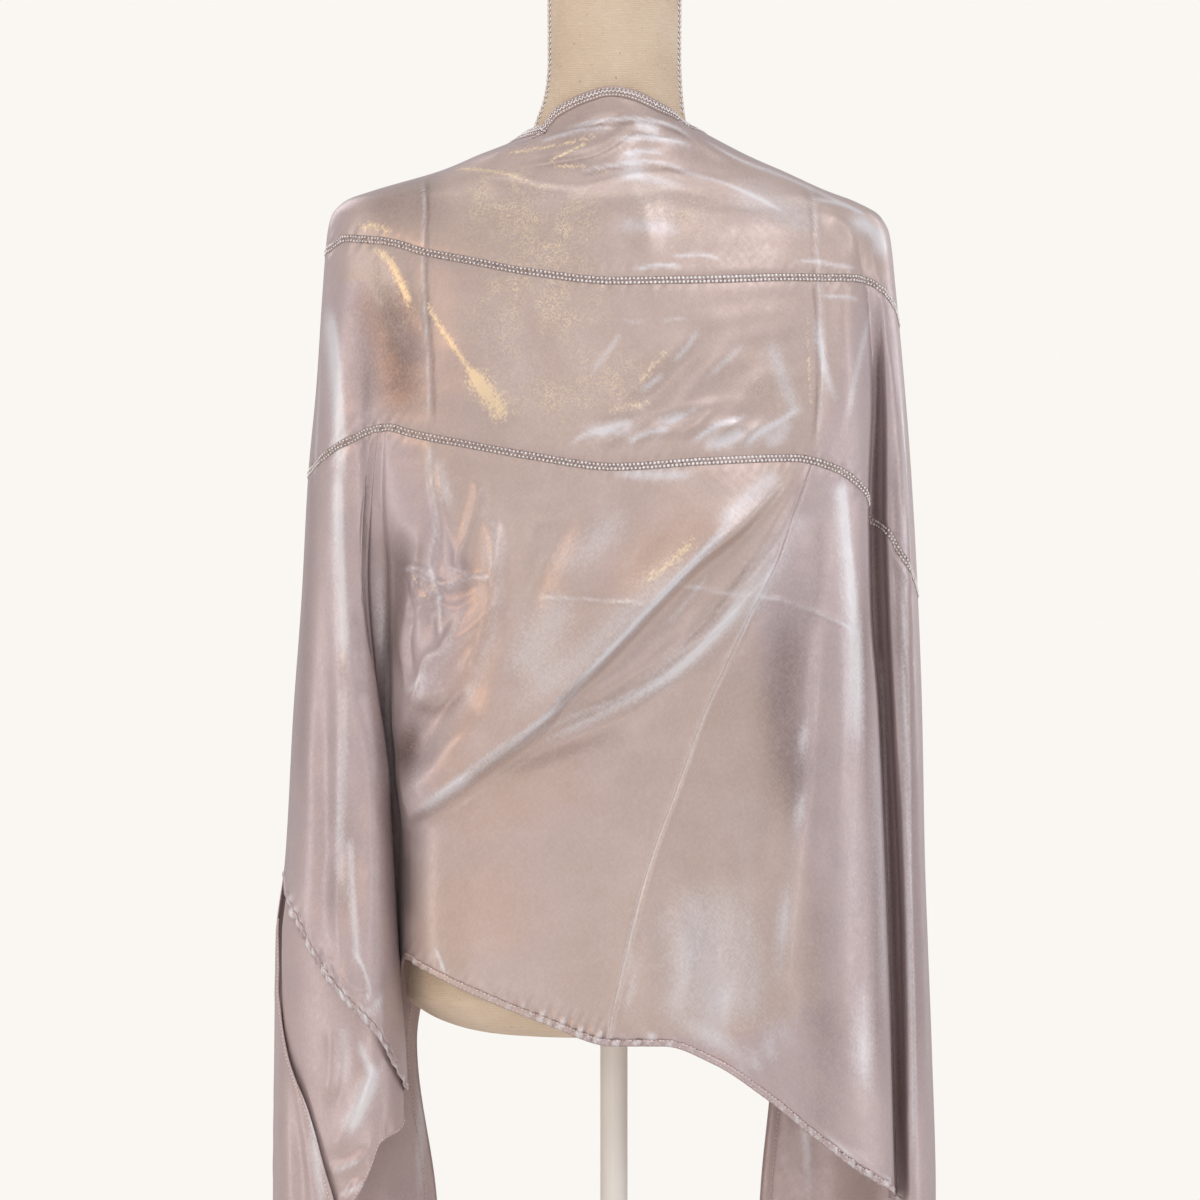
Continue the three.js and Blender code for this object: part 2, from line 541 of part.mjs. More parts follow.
// The left tail's lower layers lie under its back face, the flap deepest
const TURNED_TOP = 606;
const TURNED_FOOT = 890;
const TURNED_INWARD = 6;
const FLAP_RISE = 34;
const FLAP_INWARD = 11;
const FLAP_FROM = 1.5;
const FLAP_TO = 3.45;
add('left_turned_edge', 'satin', wall(evenly(4), evenly(12), CLOTH, (u, v) => {
  const drop = mix(TURNED_TOP, TURNED_FOOT, v);
  const point = nearCloth(u * turnedEdge(drop), drop);
  point.y += TURNED_INWARD * u;
  return point;
}));
add('left_flap', 'satin', wall(columnsBetween(FLAP_FROM, FLAP_TO), evenly(8), CLOTH, (station, v) => {
  const drop = mix(hem(station) - FLAP_RISE, flapHem(station), v);
  const point = nearCloth(station, drop);
  point.y += CLOTH + HEM_THICKNESS + FLAP_INWARD * v;
  return point;
}));

// Front faces with the hems of their opening edges
const FRONT_TOP = 38;
const SIDE_SHARE = 0.002;
const FRONT_ROWS = 26;
function frontWidth(side, drop) {
  const { half, inner } = FRONT[side];
  return Math.hypot(half(drop) - inner(drop), outline.front(drop) - outline.side(drop));
}
function frontFace(side, from, to) {
  return (u, v) => {
    const drop = mix(FRONT_TOP, STOLE_END, Math.max(0, v) ** 1.3);
    return frontCloth(side, mix(from(drop), to(drop), u), drop);
  };
}
for (const side of ['left', 'right']) {
  const hemStart = (drop) => 1 - TOP_HEM_WIDTH / frontWidth(side, drop);
  const faceEnd = (drop) => hemStart(drop) - SEAM_GAP / frontWidth(side, drop);
  const face = frontFace(side, () => SIDE_SHARE, faceEnd);
  add(`${side}_tail_front`, 'satin', wall(evenly(12), evenly(FRONT_ROWS), CLOTH, face));
  add(`${side}_front_hem`, 'satin', wall([0, 1], evenly(FRONT_ROWS), HEM_THICKNESS,
    frontFace(side, hemStart, () => 1)));
}

// The padded form. Its shoulders follow the cloth they carry, a little below and inside it.
function neckRing(drop) {
  return { drop, half: NECK_HALF_WIDTH, back: NECK_BACK, front: NECK_FRONT, side: 4 };
}
function shoulderRing(drop) {
  const above = drop - FORM_DROP_CLEARANCE;
  const half = Math.min(outline.left(above), outline.right(above)) - FORM_SIDE_CLEARANCE;
  return {
    drop,
    half: Math.max(NECK_HALF_WIDTH, half),
    back: Math.min(NECK_BACK, outline.back(above) + FORM_DEPTH_CLEARANCE),
    front: Math.max(NECK_FRONT, outline.front(above) - FORM_DEPTH_CLEARANCE),
    side: outline.side(above),
  };
}
const NECK_DROPS = [NECK_TOP, -50, -14];
const SHOULDER_DROPS = [6, 16, 26, 34, 42, 50, 58, 66, 74, 82, 92, 104, 120];
add('dress_form', 'linen', loft([
  ...NECK_DROPS.map(neckRing),
  ...SHOULDER_DROPS.map(shoulderRing),
  ...FORM.map((row) => ({ ...row, side: 5 })),
  { drop: FORM_FOOT, half: 60, back: -42, front: 42, side: 2 },
]));

// Neck cap and stand
const CAP_RINGS = [
  { rise: 9, inset: 10 }, { rise: 7.5, inset: 4 }, { rise: 4, inset: 0 }, { rise: 0, inset: 0 },
];
add('neck_cap', 'paint', loft(CAP_RINGS.map(({ rise, inset }) => ({
  drop: NECK_TOP - SEAM_GAP - rise,
  half: NECK_HALF_WIDTH - inset,
  back: NECK_BACK + inset,
  front: NECK_FRONT - inset,
  side: 4,
}))));
add('stand_pole', 'paint', turned([
  [0, BASE_THICKNESS + SEAM_GAP], [POLE_RADIUS, BASE_THICKNESS + SEAM_GAP],
  [POLE_RADIUS, NAPE_HEIGHT - FORM_FOOT - SEAM_GAP], [0, NAPE_HEIGHT - FORM_FOOT - SEAM_GAP],
], 24));
add('stand_base', 'paint', turned([
  [0, 0], [BASE_RADIUS, 0], [BASE_RADIUS, BASE_THICKNESS - 3], [BASE_RADIUS - 3, BASE_THICKNESS],
  [0, BASE_THICKNESS],
], 48));

export default group;
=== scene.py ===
"""The looks of an evening stole draped over the shoulders of a limbless dress form, seen from behind.

Shapes are worked out in millimetres and written in metres. Heights on the cloth are drops below the nape,
as the stole's maker would measure them. The viewer stands behind the form, at -Y.
"""
import math

import bpy
import numpy as np
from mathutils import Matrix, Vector


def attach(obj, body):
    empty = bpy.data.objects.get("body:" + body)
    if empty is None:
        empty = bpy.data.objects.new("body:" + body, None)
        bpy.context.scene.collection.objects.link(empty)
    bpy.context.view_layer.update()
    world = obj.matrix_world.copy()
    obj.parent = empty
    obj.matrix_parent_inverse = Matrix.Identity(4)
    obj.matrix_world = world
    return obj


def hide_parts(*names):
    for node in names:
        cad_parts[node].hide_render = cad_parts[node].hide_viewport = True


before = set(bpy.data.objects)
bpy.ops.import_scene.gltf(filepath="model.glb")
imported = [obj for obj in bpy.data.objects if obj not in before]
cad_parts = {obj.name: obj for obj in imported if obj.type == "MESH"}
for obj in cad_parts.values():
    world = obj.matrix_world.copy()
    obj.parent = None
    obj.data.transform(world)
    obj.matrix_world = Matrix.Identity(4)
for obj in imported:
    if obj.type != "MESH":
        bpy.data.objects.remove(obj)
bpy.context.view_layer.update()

# Driving dimensions, in millimetres
MM = 0.001
NAPE_HEIGHT = 965.0
SQUARENESS = 2.3
STOLE_END = 905.0
CLOTH = 0.9
GRID = 2.3
TOP_HEM_WIDTH = 7.0
BOTTOM_HEM_WIDTH = 4.5
LAST_STATION = 27
LEFT_FLOOR = 6
RIGHT_FLOOR = 23


def smoothstep(low, high, x):
    t = np.clip((x - low) / (high - low), 0, 1)
    return t * t * (3 - 2 * t)


def mix(a, b, share):
    return a + (b - a) * share


def smooth_curve(xs, ys):
    """A smooth curve through the points that never overshoots them, level beyond its ends."""
    xs, ys = np.array(xs, float), np.array(ys, float)
    widths = np.diff(xs)
    slopes = np.diff(ys) / widths
    before, after = slopes[:-1], slopes[1:]
    level = before * after <= 0
    total = np.where(level, 1, before + after)
    tangents = np.concatenate([slopes[:1], np.where(level, 0, 2 * before * after / total), slopes[-1:]])

    def at(x):
        x = np.clip(x, xs[0], xs[-1])
        i = np.clip(np.searchsorted(xs, x, side="right") - 1, 0, len(xs) - 2)
        t = (x - xs[i]) / widths[i]
        u = 1 - t
        bend = widths[i] * t * u * (tangents[i] * u - tangents[i + 1] * t)
        return ys[i] * u * u * (1 + 2 * t) + ys[i + 1] * t * t * (3 - 2 * t) + bend

    return at


def table(names, *rows):
    """Named columns, each a smooth curve over the table's first column."""
    columns = np.array(rows, float).T
    return {name: smooth_curve(columns[0], column) for name, column in zip(names.split()[1:], columns[1:])}


# The outline of the worn cloth: its sides seen from behind, their depth, its depth behind and in front on the
# centre line, and the two edges of the front opening
OUTLINE = table(
    "drop left right side back front inner_left inner_right",
    (-12, 58, 50, 2, -52, 30, 56, 48),
    (10, 61, 51, 1, -57, 40, 58, 49),
    (24, 63, 55, 0, -62, 48, 60, 52),
    (31, 66, 68, 0, -65, 54, 60, 54),
    (48, 103, 101, 0, -72, 64, 61, 56),
    (58, 127, 124, 0, -76, 69, 62, 57),
    (73, 178, 157, 0, -82, 77, 62, 59),
    (80, 197, 176, 0, -85, 81, 62, 60),
    (91, 207, 195, 1, -90, 88, 62, 61),
    (105, 210, 202, 2, -95, 95, 63, 62),
    (140, 213, 206, 4, -104, 112, 64, 66),
    (215, 218, 213, 6, -111, 135, 66, 74),
    (280, 224, 218, 8, -113, 142, 70, 82),
    (372, 229, 223, 8, -113, 141, 80, 94),
    (455, 235, 226, 8, -112, 136, 92, 104),
    (562, 241, 228, 8, -112, 130, 112, 114),
    (620, 248, 230, 8, -113, 127, 128, 118),
    (700, 249, 233, 8, -114, 124, 146, 118),
    (810, 250, 236, 8, -114, 120, 132, 109),
    (905, 247, 236, 8, -112, 118, 124, 104),
)

# The deep fold between the left tail and the back
LEFT_FOLD = table(
    "drop open edge edge_depth floor panel panel_depth",
    (235, 0, -180, -70, -60, -163, -76),
    (300, 0.4, -184, -62, -54, -162, -70),
    (350, 0.85, -184, -58, -42, -160, -62),
    (441, 1, -174, -50, -30, -160, -52),
    (533, 1, -163, -47, -26, -153, -50),
    (615, 1, -158, -47, -28, -152, -54),
    (730, 1, -151, -47, -30, -146, -58),
    (905, 1, -148, -47, -30, -142, -58),
)

# The groove between the back's folded side and the narrow right tail
RIGHT_FOLD = table(
    "drop open edge floor tail tail_depth",
    (104, 0, 190, -40, 199, -40),
    (150, 0.35, 192, -36, 199, -42),
    (215, 0.75, 189, -28, 197, -40),
    (300, 1, 185, -20, 197, -38),
    (372, 1, 186, -16, 199, -36),
    (455, 1, 192, -14, 203, -36),
    (623, 1, 199, -14, 210, -36),
    (806, 1, 204, -14, 213, -36),
    (905, 1, 206, -14, 214, -36),
)

# Lines sewn across the back: the drop at each station. Station 0 is the left side, 4 the left tail's rolled
# edge, 6 the bottom of the left fold, 14 the centre, 21 the back's right edge and 27 the right side
TOP_EDGE = table(
    "station drop",
    (0, 31), (2, 28), (4, 25), (6, 21), (8, 17), (9, 13), (10, 8), (11, 4), (12, 1), (13, -1.5), (14, -2),
    (15, -1), (16, 1), (17, 4.5), (18, 9), (19, 13), (21, 17), (24, 21), (27, 24),
)["drop"]
UPPER_SEAM = table(
    "station drop",
    (0, 118), (1, 115), (2, 108.5), (4, 111), (8, 114), (10, 124), (12, 135), (14, 141), (16, 140),
    (18, 138), (21, 139), (23, 140.5), (25, 145), (26, 155), (27, 170),
)["drop"]
LOWER_SEAM = table(
    "station drop",
    (0, 281), (1, 277), (2, 266), (3, 256), (4, 249), (8, 247), (10, 257), (12, 268), (14, 276), (16, 272),
    (18, 269.5), (19, 278), (20, 291), (21, 300), (23, 314), (25, 323), (26, 349), (27, 368),
)["drop"]
HEM = table(
    "station drop",
    (0, 576), (1, 598), (2, 648), (3, 690), (4, 730), (5, 724), (6, 695), (7, 655), (8, 634), (9, 643),
    (10, 656), (12, 678), (14, 695), (15, 695), (16, 708), (17, 732), (18, 762), (19, 790), (20, 801),
    (21, 806), (23, 812), (25, 826), (26, 845), (27, 860),
)["drop"]
SLANTING_JOIN = table(
    "drop station",
    (265, 18.45), (343, 17.59), (369, 17.2), (412, 16.53), (455, 15.91), (505, 15.36), (556, 14.8),
    (594, 14.48), (635, 14.2), (710, 13.68),
)["station"]
TURNED_EDGE = table(
    "drop station",
    (606, 0.16), (640, 0.4), (700, 1), (737, 1.5), (765, 1.75), (791, 1.95), (810, 2.1), (890, 2.4),
)["station"]
FLAP_HEM = table(
    "station drop", (1.5, 850), (2, 835), (2.4, 815), (2.7, 794), (3, 768), (3.6, 757), (3.95, 737),
)["drop"]
FORM = table(
    "drop half back front",
    (140, 187, -94, 98), (180, 177, -98, 112), (235, 163, -98, 122), (300, 134, -88, 108),
    (372, 107, -75, 88), (450, 119, -84, 88), (520, 136, -95, 92), (600, 150, -102, 96),
    (640, 153, -103, 97), (662, 152, -100, 95), (675, 137, -90, 86), (684, 116, -77, 74),
    (690, 88, -60, 58), (692, 60, -42, 42),
)


def roundness(share):
    return (1 - np.minimum(1, share) ** SQUARENESS) ** (1 / SQUARENESS)


def back_depth(x, drop):
    half = np.where(x < 0, OUTLINE["left"](drop), OUTLINE["right"](drop))
    side = OUTLINE["side"](drop)
    return side + (OUTLINE["back"](drop) - side) * roundness(np.abs(x) / half)


LEFT_SHARES = (1, 0.985, 0.93, 0.87, 0.8, 0.785, 0.77, 0.755, 0.74, 0.68)
CENTRE_SHARES = (0.8, 0.6, 0.4, 0.2, 0, -0.2, -0.4, -0.6, -0.8)
RIGHT_SHARES = (0.78, 0.84, 0.86, 0.875, 0.89, 0.905, 0.92, 0.97, 1)
NEAR_FLOOR = 0.8
SHOULDER = 17.0


def side_stations(drop, sign, half, shares, folded, open_share):
    """The stations of one side: on the plain outline where its fold is closed, on the fold where it's open."""
    places = []
    for share, (fold_x, fold_y) in zip(shares, folded):
        x = sign * share * half
        y = back_depth(x, drop)
        places.append((mix(x, fold_x, open_share), mix(y, fold_y, open_share)))
    return places


def left_stations(drop):
    half = OUTLINE["left"](drop)
    edge, edge_depth, floor, panel, panel_depth = (
        LEFT_FOLD[name](drop) for name in ("edge", "edge_depth", "floor", "panel", "panel_depth"))
    tail = [(-half + share * (edge + half), inward)
            for share, inward in ((0, 0), (0.1, 0), (0.42, 6), (0.8, 12))]
    past = panel + SHOULDER
    folded = [(x, back_depth(x, drop) + inward) for x, inward in tail] + [
        (edge, edge_depth),
        (edge - 6, mix(edge_depth, floor, NEAR_FLOOR)),
        (mix(edge, panel, 0.25) - 2, floor),
        (panel - 5, mix(panel_depth, floor, NEAR_FLOOR)),
        (panel, panel_depth),
        (past, mix(panel_depth, back_depth(past, drop), NEAR_FLOOR)),
    ]
    return side_stations(drop, -1, half, LEFT_SHARES, folded, LEFT_FOLD["open"](drop))


def right_stations(drop):
    half = OUTLINE["right"](drop)
    parts = ("edge", "floor", "tail", "tail_depth")
    edge, floor, tail, tail_depth = (RIGHT_FOLD[name](drop) for name in parts)
    edge_depth = back_depth(edge, drop) + 10
    folded = [
        (edge - 22, back_depth(edge - 22, drop)),
        (edge - 4, back_depth(edge - 4, drop) + 2),
        (edge, edge_depth),
        (edge - 3, mix(edge_depth, floor, NEAR_FLOOR)),
        (edge + 3, floor),
        (tail - 1, mix(tail_depth, floor, 0.65)),
        (tail + 3, tail_depth),
        (mix(tail, half, 0.7), tail_depth + 9),
        (half, OUTLINE["side"](drop)),
    ]
    return side_stations(drop, 1, half, RIGHT_SHARES, folded, RIGHT_FOLD["open"](drop))


def stations(drop):
    """The plan's 28 stations at each drop, as two arrays of x and y."""
    left, right = left_stations(drop), right_stations(drop)
    centre = []
    for share in CENTRE_SHARES:
        x = share * left[-1][0] if share > 0 else -share * right[0][0]
        centre.append((x, back_depth(x, drop)))
    xs, ys = zip(*(left + centre + right))
    return np.stack(xs, -1), np.stack(ys, -1)


def back_cloth(station, drop):
    """The place of the cloth behind and at the sides, from its station and its drop, without folds."""
    station, drop = np.broadcast_arrays(np.asarray(station, float), np.asarray(drop, float))
    shape = station.shape
    station = np.clip(station.ravel(), 0, LAST_STATION)
    drop = drop.ravel()
    xs, ys = stations(drop)
    first = np.minimum(station.astype(int), LAST_STATION - 1)
    t = station - first
    rows = np.arange(len(station))
    knots = [np.stack([a[rows, np.clip(first + k, 0, LAST_STATION)] for a in (xs, ys)], -1)
             for k in (-1, 0, 1, 2)]
    knots[0] = np.where((first == 0)[:, None], 2 * knots[1] - knots[2], knots[0])
    knots[3] = np.where((first == LAST_STATION - 1)[:, None], 2 * knots[2] - knots[1], knots[3])
    a, b, c = (np.sqrt(np.linalg.norm(knots[k + 1] - knots[k], axis=-1))[:, None] + 1e-6 for k in range(3))
    leave = ((knots[1] - knots[0]) / a - (knots[2] - knots[0]) / (a + b) + (knots[2] - knots[1]) / b) * b
    arrive = ((knots[2] - knots[1]) / b - (knots[3] - knots[1]) / (b + c) + (knots[3] - knots[2]) / c) * b
    t = t[:, None]
    u = 1 - t
    place = knots[1] * u * u * (1 + 2 * t) + knots[2] * t * t * (3 - 2 * t) + t * u * (leave * u - arrive * t)
    return np.concatenate([place, (NAPE_HEIGHT - drop)[:, None]], -1).reshape(shape + (3,))


SLOPE_REACH = 0.1
STEEPEST = 2.5


def across(line):
    """The drop that a millimetre across a sewn line takes, by station."""
    at = np.linspace(0, LAST_STATION, 271)
    before, after = (np.clip(at + step, 0, LAST_STATION) for step in (-SLOPE_REACH, SLOPE_REACH))
    run = back_cloth(after, line(after)) - back_cloth(before, line(before))
    level = np.hypot(run[:, 0], run[:, 1])
    return smooth_curve(at, np.minimum(STEEPEST, np.hypot(level, run[:, 2]) / level))


def beside(line, measure):
    """The line that lies the measure below a sewn line, square to it."""
    slope = across(line)
    return lambda station: line(station) + measure * slope(station)


def front_cloth(sign, share, drop):
    """The place of a front face, from its outermost line, share 0, to the edge of the opening, share 1."""
    side = "left" if sign < 0 else "right"
    half, inner = OUTLINE[side](drop), OUTLINE["inner_" + side](drop)
    limit = np.arccos(np.minimum(1, inner / half) ** (SQUARENESS / 2))
    angle = share * limit
    flutes, depth = (2.4, 8) if sign < 0 else (2.9, 3.5)
    fade = np.sin(np.pi * np.clip(share, 0, 1)) ** 1.3
    flute = depth * smoothstep(120, 600, drop) * fade * np.sin(2 * np.pi * flutes * share + 0.6)
    x = half * np.maximum(0, np.cos(angle)) ** (2 / SQUARENESS)
    rise = np.maximum(0, np.sin(angle)) ** (2 / SQUARENESS)
    y = mix(OUTLINE["side"](drop), OUTLINE["front"](drop), rise) + flute
    return np.stack([sign * x, y, NAPE_HEIGHT - drop + 0 * x], -1)


def folds(rows):
    """Folds from a table, with a row for each: above below rise sharp start end, then x,drop at each place.

    A fold is a smooth line of places as they show from behind. above and below are the widths of its flanks
    on the line's left and right hand, rise its height towards the viewer, sharp the flank's power (2 is soft,
    1 a pressed crease), start and end the shares of its length over which it fades in and out. A row with #
    is a heading.
    """
    found = []
    for row in rows.strip().splitlines():
        if row.startswith("#"):
            continue
        cells = row.split()
        one = dict(zip(("above", "below", "rise", "sharp", "start", "end"), map(float, cells)))
        one["places"] = np.array([cell.split(",") for cell in cells[6:]], float)
        found.append(one)
    return found


BACK_FOLDS = folds("""
# The three long sweeps from the right shoulder blade down to the left hem, and the overlap's lower edge
5 52 15 1.6 .25 .12  140,262 95,314 58,345 26,377 -7,412 -36,440 -54,462 -98,496 -134,524 -164,544
5 9 3.4 1.7 .2 .25  145,272 121,307 95,349 65,380 39,408 1,436 -26,453 -60,472
9 8 4.6 1.8 .2 .3  134,305 119,343 82,386 58,404 26,430 11,442 -17,456 -54,475
14 10 3 2 .3 .4  152,300 132,352 104,400 74,440 44,462
8 12 -2.4 2 .3 .3  112,332 84,366 52,396 14,426 -30,452
10 16 -3.5 2 .3 .4  70,396 30,436 -14,462 -60,484 -110,512
20 26 4 2 .4 .4  64,282 32,320 4,358 -24,396 -50,430
16 18 -3 2 .4 .4  92,280 54,318 18,356 -14,390
# The hip on the right, hanging folds, and the soft fall above the corner
12 14 4 2 .3 .3  154,288 140,400 134,500 123,566 118,635 112,720
10 12 -3 2 .3 .3  146,330 152,420 148,511 142,600 134,690 130,760
9 10 3.2 2 .3 .2  160,330 162,404 160,511 158,620 160,740 166,800
12 12 2.2 2 .4 .4  60,480 84,560 92,640 88,700
20 20 -3 2 .4 .4  96,420 112,500 110,590 100,680
14 18 2.6 2 .4 .4  30,520 24,600 36,680 44,720
# Between the lower seam and the waist, soft and slanting
16 16 2.2 2 .4 .5  12,284 -18,330 -44,372 -64,410
12 14 -2.2 2 .4 .5  -14,284 -40,326 -62,372 -74,420
14 14 2.4 2 .4 .4  -50,290 -66,340 -78,400 -92,450 -110,490
# The crumpled part beside the left fold
7 9 5 1.5 .3 .25  -100,286 -90,330 -84,372 -104,394 -122,409 -138,436 -146,452 -155,472 -159,511
16 18 -11 2 .3 .3  -98,420 -118,436 -136,468 -150,506
5 6 2.6 1.3 .3 .3  -139,300 -142,343 -148,372 -153,402 -148,438
5 5 2.4 1.3 .3 .3  -130,262 -120,314 -112,343 -105,372
5 5 1.8 1.2 .3 .3  -108,276 -98,300 -108,332 -116,366
4 5 2.4 1.1 .2 .3  -160,352 -142,348 -134,362 -120,378 -102,372 -88,356
4 4 1.8 1.1 .3 .3  -158,380 -140,372 -124,360 -112,352
4 4 1.6 1.1 .3 .3  -146,352 -142,366 -130,384 -126,404
5 4 1.6 1.2 .3 .3  -112,382 -120,400 -118,420 -126,440
9 10 -3 1.8 .3 .3  -128,300 -126,340 -132,392 -136,420
10 12 -2.6 1.8 .3 .3  -152,310 -156,350 -160,396 -156,430
10 8 3.5 1.8 .3 .3  -92,452 -112,474 -132,502 -150,528
2.2 2.8 1.7 1.2 .1 .15  -134,252 -133,282 -129,316 -134,347 -127,372 -125,406
2.4 2.4 2 1.2 .1 .1  -157,350 -141,350 -124,361 -107,357 -86,356
2.6 3 1.9 1.3 .2 .2  -95,282 -104,318 -112,338 -115,358
6 8 4 1.5 .2 .1  -87,296 -84,338 -90,361 -95,395 -112,429 -141,445 -148,449
2.6 3.4 2.4 1.2 .2 .1  -107,372 -115,392 -124,409 -135,415 -141,443 -146,449
3 3 -2 1.4 .2 .2  -150,356 -146,380 -148,404 -143,430
3 3.6 1.6 1.2 .2 .2  -158,372 -155,400 -150,424 -147,448
2.4 2.4 1.4 1.2 .2 .2  -152,388 -138,378 -124,362
# The pressed crease across the waist
1.6 1.6 .9 1 .05 .05  -154,349 -127,352 -105,358 -85,356
1.4 1.6 .9 1 .1 .1  -56,370 -10,372 24,375
1.4 1.6 .9 1 .1 .1  44,360 74,366 104,369 137,377 152,383 179,396
# The pressed creases down each shoulder blade, the right one going on as the slanting join
1.3 1.6 .8 1 .05 .2  -139,64 -137,118 -139,153 -134,212 -134,254 -131,282
1.6 1.3 .8 1 .05 .1  139,66 146,82 147,137 149,175 150,212 143,271
1.5 1.3 1 1 .03 .03  143,271 118,343 105,369 84,412 65,455 47,505 28,556 17,594 7,635 -7,700
# The gathers under the nape
4.5 5.5 3.4 1.5 .3 .3  -105,52 -66,44 -36,36 -4,24 14,12
5 6.5 3.4 1.6 .3 .3  -90,62 -52,58 -16,52 8,38 24,20
4.5 7 4 1.5 .25 .3  14,10 34,24 58,32 92,52 136,66
6 7 3.2 1.6 .3 .4  4,30 30,36 54,40 84,58 110,72
8 8 -2.2 2 .3 .3  -70,70 -24,68 22,60 64,64 100,78
10 14 2.6 2 .4 .4  -44,84 0,84 44,78 84,86
10 10 2.4 2 .4 .4  10,60 20,84 24,112 20,132
4 5 1.6 1.3 .3 .3  70,42 108,56 150,70 182,88
4 4 1.5 1.3 .3 .3  -120,64 -88,66 -52,74 -20,74
7 7 2 1.8 .3 .4  118,70 146,84 176,104 192,128
6 6 1.6 1.8 .3 .4  150,84 168,104 180,128
# Drag lines between the seams
9 9 1.6 2 .4 .4  60,172 36,196 14,220 -14,244
8 8 1.6 2 .4 .4  92,176 66,206 40,232 12,254
8 8 1.5 2 .4 .4  118,196 96,224 76,250
7 7 -1.3 2 .4 .4  76,170 50,202 24,228 0,248
5 5 1.2 1.6 .3 .3  -30,240 10,236 52,234 96,224
5 5 1.1 1.6 .3 .3  -8,254 34,250 80,246 112,250
24 24 3.4 2 .4 .4  -124,150 -104,190 -84,230 -76,262
16 16 -2.4 2 .4 .4  -96,140 -60,190 -36,240
10 12 2.6 2 .3 .4  -176,104 -160,132 -146,166 -140,200
12 12 -2.4 2 .3 .4  -190,112 -176,150 -160,196 -152,236
14 14 3 2 .3 .3  170,100 166,150 166,200 172,250
8 8 -2 2 .3 .3  156,110 156,160 158,220 154,262
3 3 1 1.8 .3 .3  -10,263 0,255 12,246
3 3 1 1.8 .3 .3  10,263 20,252 32,242
3 3 1.1 1.8 .3 .3  46,256 60,244 75,233
3 3 1 1.8 .3 .3  69,259 80,250 92,242
3 3 1 1.8 .3 .3  86,262 98,252 109,242
10 14 3.4 2 .3 .3  42,560 52,610 60,660 58,706
8 9 -2.4 2 .3 .3  70,580 70,630 62,680
8 10 3 2 .3 .3  96,560 100,610 96,660 84,706
6 7 2 2 .3 .2  128,640 124,680 112,712
6 7 -2 2 .3 .2  110,600 112,650 104,690
# The left tail
12 12 3.2 2 .15 .2  -200,120 -203,190 -200,280 -197,372 -196,470 -198,570
9 9 -2.6 2 .2 .2  -184,170 -188,250 -186,340 -184,430 -186,540 -182,640
8 8 2 2 .3 .3  -214,200 -216,300 -218,400 -222,520 -226,590
10 10 2.6 2 .3 .2  -172,300 -176,400 -172,500 -168,600 -162,690
8 8 -2 2 .3 .3  -210,420 -210,520 -212,610 -200,650
5 6 1.8 1.3 .2 .3  -198,552 -200,600 -196,636 -186,662 -178,680
4 5 2.2 1.3 .2 .2  -214,622 -202,640 -192,652 -182,656 -172,646
5 5 2 1.4 .2 .2  -206,634 -196,654 -184,668 -172,670 -164,660
4 4 -1.6 1.6 .2 .2  -210,630 -198,648 -186,660 -172,656
# The right tail
4 4 1.6 2 .2 .2  209,150 212,230 214,320 215,420 216,560 219,700 221,810
3.5 3.5 -1.2 2 .2 .2  204,240 206,340 208,450 209,600 212,760
3 3 1.4 1.4 .2 .3  200,180 206,250 209,330
3 3 1.2 1.4 .3 .3  200,330 210,352 220,366
""")


def bezier_points(places, pieces=7):
    """Points along a smooth line through the places, a Catmull-Rom curve."""
    ends = np.concatenate([2 * places[:1] - places[1:2], places, 2 * places[-1:] - places[-2:-1]])
    t = np.arange(pieces)[:, None] / pieces
    line = []
    for a, b, c, d in zip(ends[:-3], ends[1:-2], ends[2:-1], ends[3:]):
        line.append(0.5 * (2 * b + (c - a) * t + (2 * a - 5 * b + 4 * c - d) * t ** 2
                           + (3 * b - a - 3 * c + d) * t ** 3))
    return np.concatenate(line + [places[-1:]])


def fold_height(one, x, drop):
    """How far one fold raises the cloth at each place."""
    line = bezier_points(one["places"])
    reach = 3.2 * max(one["above"], one["below"])
    near = ((x > line[:, 0].min() - reach) & (x < line[:, 0].max() + reach)
            & (drop > line[:, 1].min() - reach) & (drop < line[:, 1].max() + reach))
    height = np.zeros_like(x)
    if not near.any():
        return height
    px, py = x[near], drop[near]
    steps = np.diff(line, axis=0)
    lengths = np.linalg.norm(steps, axis=1)
    passed = np.concatenate([[0], np.cumsum(lengths)])
    best = np.full(px.shape, 1e9)
    hand = np.ones(px.shape)
    share = np.zeros(px.shape)
    for (ax, ay), (sx, sy), length, done in zip(line[:-1], steps, lengths, passed):
        t = np.clip(((px - ax) * sx + (py - ay) * sy) / length ** 2, 0, 1)
        dx, dy = px - ax - t * sx, py - ay - t * sy
        distance = dx * dx + dy * dy
        closer = distance < best
        best = np.where(closer, distance, best)
        hand = np.where(closer, np.sign(sx * dy - sy * dx), hand)
        share = np.where(closer, (done + t * length) / passed[-1], share)
    width = np.where(hand > 0, one["below"], one["above"])
    fade = smoothstep(0, one["start"] + 1e-3, share) * smoothstep(0, one["end"] + 1e-3, 1 - share)
    height[near] = one["rise"] * fade * np.exp(-(np.sqrt(best) / width) ** one["sharp"])
    return height


def relief(bends, x, drop):
    return sum(fold_height(one, x, drop) for one in bends)


def grid_normals(grid):
    """Unit normals of a grid of places, pointing away from the form."""
    along = np.gradient(grid, axis=1)
    down = np.gradient(grid, axis=0)
    normal = np.cross(down, along)
    return normal / np.maximum(np.linalg.norm(normal, axis=-1, keepdims=True), 1e-9)


